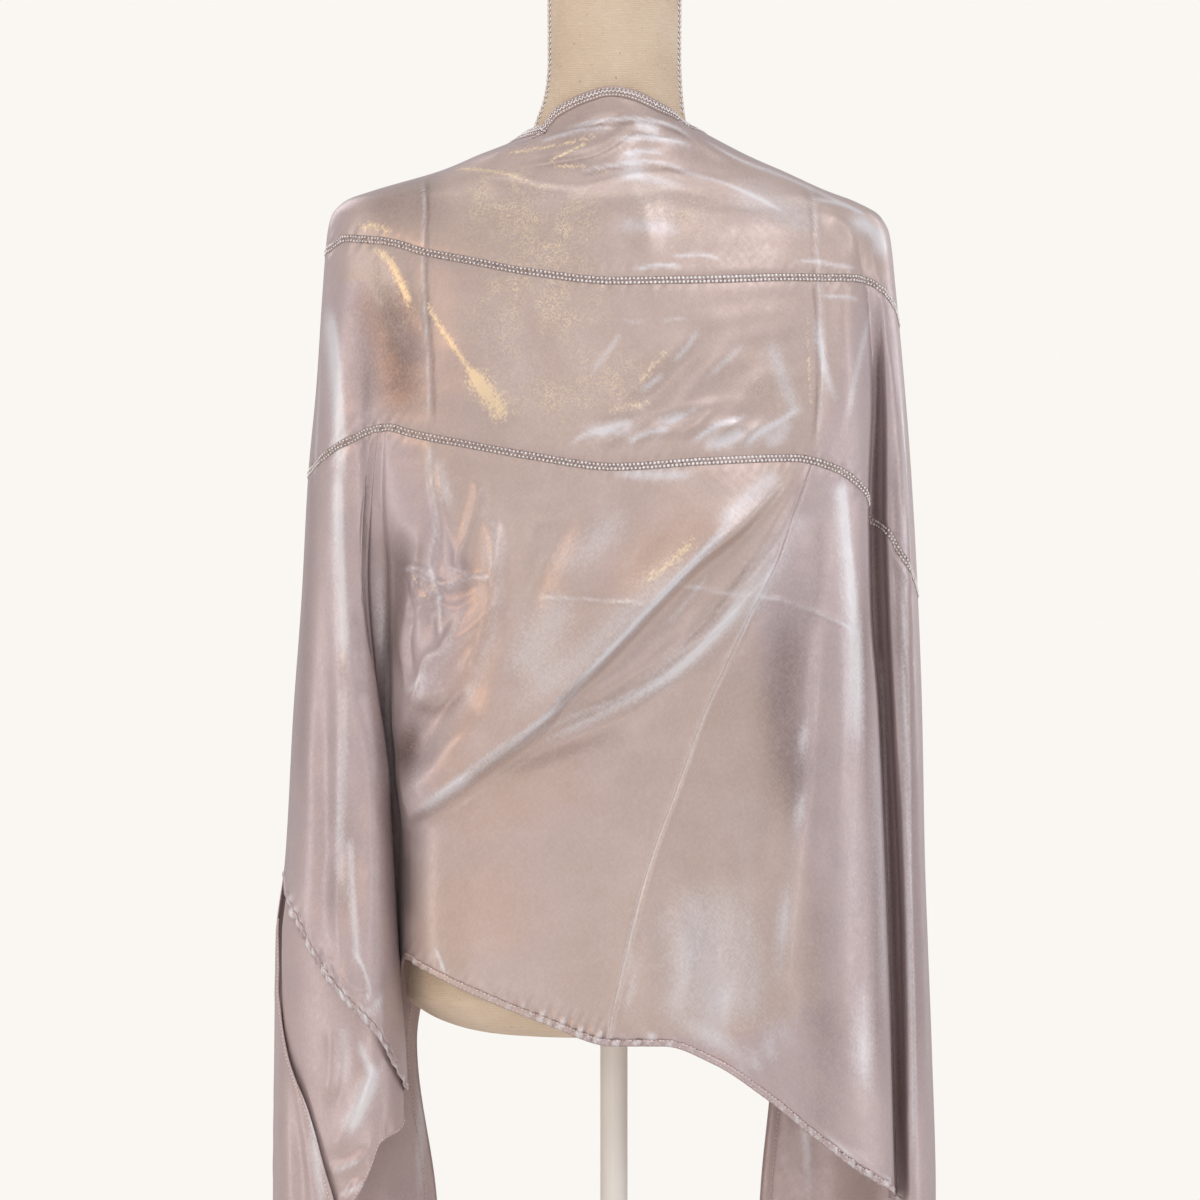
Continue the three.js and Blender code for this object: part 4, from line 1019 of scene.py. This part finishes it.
# The seams' beds are dark to paint the shade in the gaps between the bright loops
SHADED_SEAM_BED = thread_material("seam_bed_painted_shade", srgb(124, 106, 101), srgb(174, 156, 150), 700.0)
HEM_THREAD = thread_material("hem_thread", srgb(222, 190, 180), srgb(250, 238, 232))
LINEN = linen_material()
PAINT = paint_material()


def piece_of(piece, material, slot, *nodes):
    """Gives a piece its material and its body, and hides the parts of model.glb that it stands for."""
    piece.data.materials.clear()
    piece.data.materials.append(material)
    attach(piece, "root")
    if nodes:
        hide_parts(*nodes)
    return piece


def near_line(distance, reach):
    return np.exp(-(distance / reach) ** 2)


def pucker(grid, station, drop, normals):
    """Small gathers beside each sewn line."""
    x = grid[..., 0]
    along = x + 0.6 * (NAPE_HEIGHT - grid[..., 2])
    wave = np.sin(2 * np.pi * along / 8.3 + 1.7 * np.sin(x / 19)) + 0.6 * np.sin(2 * np.pi * x / 13.1 + 1)
    tight = np.sin(2 * np.pi * x / 5.6 + 2.2 * np.sin(x / 23))
    slow = 0.6 + 0.4 * np.sin(x / 31 + 2)
    height = np.zeros_like(x)
    for line, rise, reach in ((UPPER_SEAM, 0.36, 10), (LOWER_SEAM, 0.4, 11), (HEM, 1.6, 12)):
        near = near_line(drop - line(station), reach)
        height += rise * slow * (wave * near + 0.45 * tight * near ** 3)
    for line in (UPPER_SEAM, LOWER_SEAM):
        height -= 0.7 * near_line(drop - line(station), 4.5)
    return height * smoothstep(0.1, 0.4, -normals[..., 1])


UNDER_TOP_HEM = beside(TOP_EDGE, TOP_HEM_WIDTH)
HEM_TOP = beside(HEM, -BOTTOM_HEM_WIDTH)
ALL_ROUND = station_columns(0, LAST_STATION)
BACK_PIECES = (
    ("stole_back_upper", "back_upper_panel", ALL_ROUND, 140, UNDER_TOP_HEM, UPPER_SEAM, False),
    ("stole_back_middle", "back_middle_panel", ALL_ROUND, 140, UPPER_SEAM, LOWER_SEAM, False),
    ("stole_left_tail_back", "left_tail_back", station_columns(0, LEFT_FLOOR), 440,
     LOWER_SEAM, HEM_TOP, True),
    ("stole_back_lower_left", "back_lower_left_panel", station_columns(LEFT_FLOOR, JOIN_COLUMN), 410,
     LOWER_SEAM, HEM_TOP, True),
    ("stole_back_lower_right", "back_lower_right_panel", station_columns(JOIN_COLUMN, RIGHT_FLOOR), 500,
     LOWER_SEAM, HEM_TOP, True),
    ("stole_right_tail_back", "right_tail_back", station_columns(RIGHT_FLOOR, LAST_STATION), 510,
     LOWER_SEAM, HEM_TOP, True),
)
for piece_name, node, columns, height, top, bottom, leaning in BACK_PIECES:
    *panel_grid, panel_tones = displaced(columns, even(height), top, bottom, leaning)
    panel = shell(piece_name, *panel_grid, CLOTH, panel_tones)
    piece_of(panel, SATIN, "satin", node)


# Stitches: small beads of thread, laid at even steps along a track
def bead_form(turns=6, rings=3):
    """A bead's points on the unit sphere, and its triangles."""
    heights = np.linspace(-np.pi / 2, np.pi / 2, rings + 2)[1:-1]
    around = np.linspace(0, 2 * np.pi, turns, endpoint=False)
    points = [(0, 0, -1)]
    points += [(math.cos(h) * math.cos(a), math.cos(h) * math.sin(a), math.sin(h))
               for h in heights for a in around]
    points.append((0, 0, 1))
    faces = []
    for i in range(turns):
        j = (i + 1) % turns
        last = 1 + (rings - 1) * turns
        faces += [(0, 1 + j, 1 + i), (len(points) - 1, last + i, last + j)]
        for ring in range(rings - 1):
            low = 1 + ring * turns
            faces += [(low + i, low + j, low + turns + j), (low + i, low + turns + j, low + turns + i)]
    return np.array(points), np.array(faces)


BEAD_POINTS, BEAD_FACES = bead_form()


def track_along(grid, normals, row, pitch, start=0.5):
    """Places at even steps along one row of a grid, with the row's direction and the cloth's normal there."""
    line, up = grid[row], normals[row]
    passed = np.concatenate([[0], np.cumsum(np.linalg.norm(np.diff(line, axis=0), axis=1))])
    at = np.arange(start * pitch, passed[-1], pitch)
    places = np.stack([np.interp(at, passed, line[:, k]) for k in range(3)], -1)
    upward = np.stack([np.interp(at, passed, up[:, k]) for k in range(3)], -1)
    upward /= np.linalg.norm(upward, axis=1, keepdims=True)
    along = np.gradient(places, axis=0)
    along /= np.linalg.norm(along, axis=1, keepdims=True)
    return places, along, upward


def beads(places, along, up, length, width, height, slant=0.0):
    """Points and triangles of one bead at each place; slant turns it on the cloth, in radians."""
    side = np.cross(up, along)
    slant = np.broadcast_to(slant, len(places))[:, None]
    forward = along * np.cos(slant) + side * np.sin(slant)
    sideways = np.cross(up, forward)
    size = [np.broadcast_to(value, len(places))[:, None, None] / 2 for value in (length, width, height)]
    points = places[:, None] + (forward[:, None] * size[0] * BEAD_POINTS[None, :, :1]
                                + sideways[:, None] * size[1] * BEAD_POINTS[None, :, 1:2]
                                + up[:, None] * size[2] * BEAD_POINTS[None, :, 2:])
    faces = BEAD_FACES[None] + (np.arange(len(places)) * len(BEAD_POINTS))[:, None, None]
    return points.reshape(-1, 3), faces.reshape(-1, 3)


def joined(name, *parts):
    """One mesh of several lots of points and faces."""
    points, faces, count = [], [], 0
    for some_points, some_faces in parts:
        points.append(some_points)
        faces.append(some_faces + count)
        count += len(some_points)
    return make_mesh(name, np.concatenate(points), np.concatenate(faces).tolist())


def strip(name, line, width, low_side, profile, thickness, rows=9, columns=ALL_ROUND, painted_bed_shade=0.0):
    """A raised strip along a sewn line, from low_side of its width above the line; profile gives its lift. The
    last argument darkens the strip's middle with painted shade.
    """
    share = np.linspace(0, 1, rows)
    top, bottom = beside(line, -low_side * width), beside(line, (1 - low_side) * width)
    grid, normals, tones = displaced(columns, share, top, bottom, leaning=False)
    grid = grid + normals * profile(share)[:, None, None]
    normals = grid_normals(grid)
    # Painted shade along the strip's middle
    tones["shade"] = tones["shade"] + painted_bed_shade * np.sin(np.pi * share)[:, None]
    return shell(name, grid, normals, thickness, tones), grid, normals


SEAM_WIDTH = 5.8
SEAM_PITCH = 3.0


def serged_seam(name, line, node):
    """An overlocked seam: a low bed of thread with two rows of bright loops. The bed's dark colour is painted
    shade in the gaps between the loops.
    """
    def ridge(share):
        return 0.35 + 0.45 * np.sin(np.pi * share)
    bed, grid, normals = strip(name + "_bed", line, SEAM_WIDTH, 0.5, ridge, 0.5)
    piece_of(bed, SHADED_SEAM_BED, "thread", node)
    lots = []
    for row, lean, start in ((2, 0.35, 0.3), (6, -0.35, 0.8)):
        places, along, up = track_along(grid, normals, row, SEAM_PITCH, start)
        rng = np.random.default_rng(row)
        fuller = 0.75 + 0.4 * np.exp(-((places[:, 0] - 60) / 100) ** 2)
        size = rng.uniform(0.85, 1.15, len(places)) * fuller
        lots.append(beads(places + up * 0.5, along, up, 1.9 * size, 2.0 * size, 1.5 * size,
                          lean + rng.uniform(-0.2, 0.2, len(places))))
    loops = joined(name + "_loops", *lots)
    piece_of(loops, THREAD, "thread")
    return bed, loops


UPPER_SEAM_PIECES = serged_seam("upper_serged_seam", UPPER_SEAM, "upper_serged_seam")
LOWER_SEAM_PIECES = serged_seam("lower_serged_seam", LOWER_SEAM, "lower_serged_seam")


def top_hem():
    """The neckline's hem, a flat fold held by a row of zigzag overlock stitches."""
    def fold_over(share):
        return 0.4 + 0.7 * np.sin(np.pi * np.clip(share * 1.15, 0, 1)) ** 0.5
    columns = station_columns(0, LAST_STATION, drops=(-2, 5, 20))
    # The hem's middle gets painted shade under its stitches
    hem, grid, normals = strip(
        "stole_top_hem", TOP_EDGE, TOP_HEM_WIDTH, 0.0, fold_over, 0.9, 13, columns, 0.8)
    piece_of(hem, SATIN, "satin", "top_hem")
    rng = np.random.default_rng(5)
    lots = []
    for row, pitch, lean, length, width in ((6, 3.0, 0.95, 3.4, 0.9), (6, 3.0, -0.95, 3.2, 0.8),
                                            (10, 2.4, 0.3, 1.7, 1.1), (3, 3.0, 0.1, 1.8, 0.8)):
        places, along, up = track_along(grid, normals, row, pitch, 0.3 if lean > 0 else 0.8)
        spread = rng.uniform(0.8, 1.2, len(places))
        lots.append(beads(places + up * 0.55, along, up, length * spread, width * spread, 0.9,
                          lean + rng.uniform(-0.25, 0.25, len(places))))
    stitches = piece_of(joined("top_hem_stitches", *lots), THREAD, "thread")
    return hem, stitches


TOP_HEM_PIECES = top_hem()


def bottom_hem():
    """The narrow rolled hem, with its line of small stitches. It lies flatter on the left tail."""
    def roll(share):
        return 0.9 * np.sqrt(np.maximum(0, np.sin(np.pi * share))) - 0.2
    hem, grid, normals = strip("stole_bottom_hem", HEM, BOTTOM_HEM_WIDTH, 1.0, roll, 0.9)
    piece_of(hem, SATIN, "satin", "bottom_hem")
    rng = np.random.default_rng(11)
    lots = []
    for row, pitch, length, width, rise in ((1, 3.1, 1.9, 0.95, 0.9), (6, 3.4, 1.5, 0.5, 0.5)):
        places, along, up = track_along(grid, normals, row, pitch)
        on_back = places[:, 0] > -152
        spread = rng.uniform(0.7, 1.25, len(places)) * np.where(on_back, 1, 0.45)
        lots.append(beads(places + up * 0.45, along, up, length * spread, width * spread, rise * spread,
                          rng.uniform(-0.3, 0.3, len(places))))
    stitches = piece_of(joined("bottom_hem_stitches", *lots), HEM_THREAD, "thread")
    return hem, stitches


BOTTOM_HEM_PIECES = bottom_hem()


# The left tail's lower layers
TURNED_TOP, TURNED_FOOT, TURNED_INWARD = 606.0, 890.0, 6.0
FLAP_FROM, FLAP_TO, FLAP_RISE, FLAP_INWARD, FLAP_UNDER = 0.12, 3.7, 34.0, 9.0, 3.1
TURNED_FOLDS = folds("""
2.4 3.4 1.6 1.5 .1 .1  -247,640 -240,676 -234,706 -228,740 -222,780 -217,812 -210,860
5 6 1.6 2 .3 .2  -240,700 -238,760 -236,810 -232,870
4 5 -1.4 2 .3 .2  -232,740 -228,780 -226,830 -222,880
""")
# Painted highlights on the turned edge
TURNED_PAINTED_HIGHLIGHTS = folds("""
1.2 1.6 1.1 1.6 .1 .2  -238,660 -235,676 -231,700 -226,722 -222,742 -218,764 -214,790 -210,812
4 3 .6 1.8 .3 .2  -224,750 -219,780 -214,806 -210,840
1 1.2 .6 1.6 .2 .3  -244,620 -243,650 -239,690 -236,720
""")
FLAP_FOLDS = folds("""
7 8 3 2 .3 .2  -172,704 -178,722 -186,742 -196,764 -206,780
5 6 -2 2 .3 .3  -196,690 -200,720 -206,750
4 5 2.2 1.8 .3 .2  -206,676 -204,712 -208,740
4 4 2.4 1.6 .2 .2  -208,790 -196,784 -186,780 -178,770
4 4 -2 1.6 .2 .2  -198,800 -190,792 -182,790
3 4 1.8 1.6 .2 .2  -204,812 -192,806 -184,796
""")
# Painted highlights on the flap
FLAP_PAINTED_HIGHLIGHTS = folds("""
4 6 .85 2 .2 .3  -170,706 -178,728 -186,746 -196,766
8 10 .4 2 .3 .3  -172,712 -182,740 -196,768
3 3 .8 2 .3 .3  -186,690 -180,708 -174,720
5 6 .5 2 .3 .3  -200,674 -196,700 -198,730
2 2 .8 1.8 .2 .2  -206,790 -194,784 -184,779
2 2 .7 1.8 .2 .2  -202,806 -190,802 -180,796
""")


def plain_tones(lustre, shade):
    """The painted tones where the cloth hangs free of the form: painted highlights, painted shade, a faint
    warm tint.
    """
    zero = np.zeros_like(lustre)
    return {"form": zero, "lustre": lustre, "gold": zero, "shimmer": zero, "peach": zero + 0.2,
            "shade": shade}


def layered(name, grid, bends, lustre):
    """One of the tail's lower layers, with its own folds and painted highlight streaks."""
    normals = grid_normals(grid)
    x, drop = grid[..., 0], NAPE_HEIGHT - grid[..., 2]
    grid = grid + normals * (relief(bends, x, drop) + 0.35 * ripples(x, drop, 21, 30))[..., None]
    normals = grid_normals(grid)
    x, drop = grid[..., 0], NAPE_HEIGHT - grid[..., 2]
    tones = plain_tones(relief(lustre, x, drop), np.zeros_like(x))
    return shell(name, grid, normals, CLOTH, tones), grid, normals


def left_layers():
    share, turn = np.meshgrid(np.linspace(0, 1, math.ceil(60 / GRID)), even(TURNED_FOOT - TURNED_TOP))
    drop = mix(TURNED_TOP, TURNED_FOOT, turn)
    grid = back_cloth(share * TURNED_EDGE(drop), drop)
    grid[..., 1] += TURNED_INWARD * share
    turned, edge_grid, edge_normals = layered("stole_left_turned_edge", grid, TURNED_FOLDS, TURNED_PAINTED_HIGHLIGHTS)
    piece_of(turned, SATIN, "satin", "left_turned_edge")
    column, share = np.meshgrid(station_columns(FLAP_FROM, FLAP_TO), even(140))
    drop = mix(HEM(column) - FLAP_RISE, FLAP_HEM(column), share)
    grid = back_cloth(column, drop)
    under_turned = 1 - smoothstep(0.6, 2.2, column)
    grid[..., 1] += FLAP_UNDER + FLAP_INWARD * share + 5 * under_turned * smoothstep(0.1, 0.5, share)
    grid[..., 0] += 4 * (1 - smoothstep(0, 1, column))
    edge_wave = np.sin(column * 21) + 0.6 * np.sin(column * 37 + 1)
    grid[..., 1] -= 0.9 * smoothstep(0.8, 1, share) * edge_wave
    flap, grid, normals = layered("stole_left_flap", grid, FLAP_FOLDS, FLAP_PAINTED_HIGHLIGHTS)
    piece_of(flap, SATIN, "satin", "left_flap")
    lots = []
    for lot_grid, lot_normals, row in ((grid, normals, -2), (edge_grid.transpose(1, 0, 2),
                                                            edge_normals.transpose(1, 0, 2), -2)):
        places, along, up = track_along(lot_grid, lot_normals, row, 3.0)
        kept = places[:, 0] > (-222 if lot_grid is grid else -260)
        lots.append(beads(places[kept] + up[kept] * 0.7, along[kept], up[kept], 1.8, 0.8, 0.7))
    stitches = piece_of(joined("left_layer_stitches", *lots), HEM_THREAD, "thread")
    return turned, flap, stitches


*LEFT_LAYERS, LEFT_LAYER_STITCHES = left_layers()

# Folds of the fronts, as places from the middle outward and down; both sides share them
FRONT_FOLDS = folds("""
7 9 3.4 2 .2 .2  150,66 140,150 128,260 126,400 132,560 140,720 146,860
6 8 -2.6 2 .2 .2  132,60 120,160 110,300 112,460 124,640 126,820
6 7 2.8 2 .2 .2  104,52 98,160 96,300 106,460 128,600 140,760
8 8 3 2 .3 .2  186,110 178,220 172,360 176,520 184,700 186,860
7 8 -2.6 2 .3 .2  200,160 196,300 192,460 200,640 206,820
7 8 2.6 2 .3 .2  214,260 212,400 214,560 222,740 224,860
5 6 2 1.8 .3 .3  196,96 160,150 120,220 88,300
5 6 1.6 1.8 .3 .3  206,140 176,210 140,290 104,370
4 5 1.4 1.8 .3 .3  80,44 76,90 84,150 80,220
4 5 1.6 1.6 .3 .3  210,420 190,450 160,462 130,450
6 6 1.8 1.8 .3 .3  150,520 164,600 160,700 168,800
""")
# Painted highlights and painted shade on the fronts, placed like their folds
FRONT_PAINTED_HIGHLIGHTS = folds("""
4 7 .9 1.8 .2 .3  152,90 142,160 131,260 128,380
5 6 .7 1.8 .2 .3  180,160 176,260 173,360 176,480
3 4 .8 1.8 .2 .2  130,480 136,600 142,720 146,840
4 5 .6 1.8 .2 .2  186,600 188,700 189,820
8 9 .4 2 .3 .3  100,80 98,160 96,240
""")
FRONT_SHADE = folds("""
8 9 .5 2 .2 .2  118,140 110,300 112,460 124,640 126,820
8 9 .5 2 .2 .2  198,180 194,300 192,460 200,640 206,820
""")
FRONT_TOP = 38.0
FRONT_HEM_SHARE = 7.0 / 250
FRONT_WIDTH = 300
FRONT_STEP = 1.6
FRONT_DROP_STEP = 1.8
FRONT_START = 0.002


def front_piece(sign):
    """One front face with the hem of its opening edge."""
    side = "left" if sign < 0 else "right"
    shares = np.linspace(FRONT_START, 1, math.ceil(FRONT_WIDTH / (FRONT_STEP * GRID)))
    drops = np.linspace(FRONT_TOP, STOLE_END, math.ceil((STOLE_END - FRONT_TOP) / (FRONT_DROP_STEP * GRID)))
    share, drop = np.meshgrid(shares, drops)
    grid = front_cloth(sign, share, drop)
    normals = sign * grid_normals(grid)
    x = np.abs(grid[..., 0])
    calm = smoothstep(0, 0.08, share) * (1 - smoothstep(1 - 2 * FRONT_HEM_SHARE, 1, share))
    height = calm * (relief(FRONT_FOLDS, x, drop) + 0.6 * ripples(grid[..., 0], drop, 4 + sign, 50))
    height += 1.2 * smoothstep(1 - 1.15 * FRONT_HEM_SHARE, 1 - FRONT_HEM_SHARE, share)
    grid = grid + normals * height[..., None]
    normals = sign * grid_normals(grid)
    x = np.abs(grid[..., 0])
    tones = plain_tones(relief(FRONT_PAINTED_HIGHLIGHTS, x, drop), relief(FRONT_SHADE, x, drop))
    edge, edge_normals = grid.transpose(1, 0, 2), normals.transpose(1, 0, 2)
    if sign < 0:
        grid, normals = grid[:, ::-1], normals[:, ::-1]
        tones = {name: values[:, ::-1] for name, values in tones.items()}
    front = piece_of(shell(f"stole_{side}_tail_front", grid, normals, CLOTH, tones), SATIN, "satin",
                     f"{side}_tail_front", f"{side}_front_hem")
    places, along, up = track_along(edge, edge_normals, -4, 3.1)
    lots = [beads(places + face * up * 0.7, along, up, 1.9, 0.75, 0.7) for face in (1, -1)]
    stitches = piece_of(joined(f"{side}_front_stitches", *lots), HEM_THREAD, "thread")
    return front, stitches


LEFT_FRONT = front_piece(-1)
RIGHT_FRONT = front_piece(1)


NECK = table(
    "drop left right",
    (-96, 49.2, 50), (-60, 48.8, 49.6), (-24, 48.6, 49.4), (-8, 49.6, 50), (6, 52.2, 51), (18, 56.4, 52.4),
    (27, 59.4, 54), (34, 61, 57),
)

FORM_MIDDLE = 4.0
FORM_BACK = -46
FORM_FRONT = 56
FORM_RADIUS = 90
UNDER_CLOTH = 4.6
UNDER_DROP = 2.6
UNDER_SHOULDER = 3.1
NECK_SEAM_SHARE = 0.955


def neck_stitches():
    """The chain stitch that closes the linen on each side of the neck."""
    lots, beds = [], []
    for sign, side in ((-1, "left"), (1, "right")):
        drops = np.arange(-94, 27 if sign < 0 else 17, 0.5)
        inward = (1 - NECK_SEAM_SHARE ** SQUARENESS) ** (1 / SQUARENESS)
        back = np.minimum(FORM_BACK, OUTLINE["back"](drops - UNDER_DROP) + UNDER_CLOTH)
        back = mix(back, FORM_BACK, 1 - smoothstep(-16, 8, drops))
        line = np.stack([sign * NECK_SEAM_SHARE * NECK[side](drops),
                         FORM_MIDDLE + (back - FORM_MIDDLE) * inward, NAPE_HEIGHT - drops], -1)
        outward = np.tile(np.array([sign * 0.8, -0.6, 0.0]), (len(line), 1))
        for shift, slant in ((-1.15, 0.42), (1.15, -0.42)):
            places, along, up = track_along(line[None], outward[None], 0, 4.0, 0.2)
            side_step = np.cross(up, along)
            lots.append(beads(places + side_step * shift + up * 0.7, along, up, 4.3, 1.05, 1.2, slant))
        places, along, up = track_along(line[None], outward[None], 0, 4.0, 0.2)
        # A dark bed under the chain paints the shade in the gaps between its loops
        beds.append(beads(places + up * 0.25, along, up, 4.6, 3.0, 0.9))
    piece_of(joined("neck_chain_stitches", *lots), THREAD, "thread")
    piece_of(joined("neck_seam_bed", *beds), SHADED_SEAM_BED, "thread")


def form_piece():
    """The padded linen torso, round in plan, with its neck."""
    rings = 190
    turns = 200
    drops = np.concatenate([np.linspace(-96, 660, rings), np.linspace(662, 692, 24)])
    angle = np.linspace(0, 2 * np.pi, turns, endpoint=False)
    above = drops - UNDER_DROP
    neck = NECK["left"](drops), NECK["right"](drops)
    shoulders = np.minimum(OUTLINE["left"](above), OUTLINE["right"](above)) - UNDER_SHOULDER
    shoulder_back = np.minimum(FORM_BACK, OUTLINE["back"](above) + UNDER_CLOTH)
    shoulder_front = np.maximum(FORM_FRONT, OUTLINE["front"](above) - UNDER_CLOTH)
    blend = smoothstep(118, 142, drops)
    back = mix(shoulder_back, FORM["back"](drops), blend)
    front = mix(shoulder_front, FORM["front"](drops), blend)
    plain = 1 - smoothstep(-16, 8, drops)
    back = mix(back, FORM_BACK, plain)
    front = mix(front, FORM_FRONT, plain)
    halves = [mix(np.where(drops < 34, side_half, np.maximum(side_half, shoulders)),
                  FORM["half"](drops), blend) for side_half in neck]

    def reach(value):
        return np.sign(value) * np.abs(value) ** (2 / SQUARENESS)

    depth = reach(np.sin(angle))[None]
    across_form = reach(np.cos(angle))[None]
    x = np.where(across_form < 0, halves[0][:, None], halves[1][:, None]) * across_form
    y = FORM_MIDDLE + np.where(
        depth > 0, depth * (front[:, None] - FORM_MIDDLE), depth * (FORM_MIDDLE - back[:, None]))
    z = (NAPE_HEIGHT - drops)[:, None] + 0 * x
    points = np.stack([x, y, z], -1)
    rows, count = points.shape[:2]
    index = np.arange(rows * count).reshape(rows, count)
    after = np.roll(index, -1, axis=1)
    quads = np.stack([index[:-1], index[1:], after[1:], after[:-1]], -1).reshape(-1, 4)
    faces = quads.tolist() + [index[0].tolist(), index[-1, ::-1].tolist()]
    uvs = np.stack([angle[None] * FORM_RADIUS + 0 * x, -drops[:, None] + 0 * x], -1).reshape(-1, 2)
    piece = make_mesh("linen_dress_form", points.reshape(-1, 3), faces, uvs)
    return piece_of(piece, LINEN, "linen", "dress_form")


LINEN_FORM = form_piece()
neck_stitches()

for node in ("neck_cap", "stand_pole", "stand_base"):
    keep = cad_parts[node]
    keep.data.materials.clear()
    keep.data.materials.append(PAINT)


BACKGROUND = srgb(250, 247, 243)


def floor_piece():
    """A round pale floor that fades into the background at its rim."""
    count, radius = 96, 1400.0
    ring = [(radius * math.cos(a), radius * math.sin(a), -0.5)
            for a in np.linspace(0, 2 * np.pi, count, False)]
    floor = make_mesh("floor", np.array(ring), [list(range(count))], smooth=False)
    n = Nodes("pale_floor")
    place = n.place()
    away = n.add("ShaderNodeVectorMath", {0: place}, operation="LENGTH").outputs["Value"]
    rim = n.add("ShaderNodeMapRange", {0: away, 1: 0.6, 2: 1.38}, interpolation_type="SMOOTHSTEP").outputs[0]
    paint = n.add("ShaderNodeBsdfDiffuse", {"Color": srgb(246, 243, 239)}).outputs[0]
    glow = n.add("ShaderNodeEmission", {"Color": BACKGROUND, "Strength": 1.0}).outputs[0]
    both = n.add("ShaderNodeMixShader", {0: rim, 1: paint, 2: glow}).outputs[0]
    floor.data.materials.append(n.finish(both))


def soft_light(name, place, aim, size, power, colour=(1, 1, 1)):
    data = bpy.data.lights.new(name, "AREA")
    data.shape = "RECTANGLE"
    data.size, data.size_y = size
    data.energy = power
    data.color = colour
    light = bpy.data.objects.new(name, data)
    bpy.context.scene.collection.objects.link(light)
    light.location = place
    light.rotation_euler = (Vector(aim) - Vector(place)).to_track_quat("-Z", "Y").to_euler()
    light.visible_camera = False
    return light


def studio():
    world = bpy.data.worlds.new("studio")
    bpy.context.scene.world = world
    world.use_nodes = True
    tree = world.node_tree
    tree.nodes.clear()
    output = tree.nodes.new("ShaderNodeOutputWorld")
    seen = tree.nodes.new("ShaderNodeBackground")
    seen.inputs[0].default_value = BACKGROUND
    fill = tree.nodes.new("ShaderNodeBackground")
    fill.inputs[0].default_value = srgb(244, 242, 244)
    fill.inputs[1].default_value = 0.72
    path = tree.nodes.new("ShaderNodeLightPath")
    choose = tree.nodes.new("ShaderNodeMixShader")
    tree.links.new(path.outputs["Is Camera Ray"], choose.inputs[0])
    tree.links.new(fill.outputs[0], choose.inputs[1])
    tree.links.new(seen.outputs[0], choose.inputs[2])
    tree.links.new(choose.outputs[0], output.inputs[0])
    middle = (0, 0, 0.65)
    soft_light("key", (1.5, -3.0, 2.5), middle, (1.3, 1.3), 21, srgb(250, 250, 255)[:3])
    soft_light("gold_left", (-2.4, -1.9, 1.5), middle, (0.7, 0.9), 9, srgb(255, 214, 166)[:3])
    soft_light("near_camera", (-0.5, -5.0, 1.3), middle, (1.6, 1.6), 9)
    soft_light("left_strip", (-2.6, -0.6, 0.8), middle, (0.3, 2.2), 8)
    soft_light("right_strip", (2.5, -1.0, 0.9), middle, (0.3, 2.2), 8)
    soft_light("foot", (-0.5, -1.3, 0.05), (-0.1, -0.1, 0.24), (0.5, 0.4), 1.3)
    soft_light("top", (0.1, -0.5, 3.0), middle, (1.6, 1.2), 9)
    soft_light("front_left", (-1.6, 2.6, 2.0), middle, (1.2, 1.6), 16)
    soft_light("front_right", (2.0, 2.2, 1.4), middle, (0.8, 1.8), 12)
    scene = bpy.context.scene
    scene.view_settings.view_transform = "Standard"
    scene.view_settings.look = "None"


def camera():
    """A long lens, level, behind the form. The photo's 1200 pixels are 876 mm at the cloth."""
    distance = 8.0
    middle_depth = -0.04
    seen_width = 0.876
    data = bpy.data.cameras.new("camera")
    data.sensor_width = 36
    data.lens = distance * 36 / seen_width
    data.clip_start, data.clip_end = 0.5, 60
    cam = bpy.data.objects.new("camera", data)
    bpy.context.scene.collection.objects.link(cam)
    cam.location = (-0.0102, middle_depth - distance, 0.5927)
    cam.rotation_euler = (math.radians(90), 0, 0)
    bpy.context.scene.camera = cam


floor_piece()
studio()
camera()
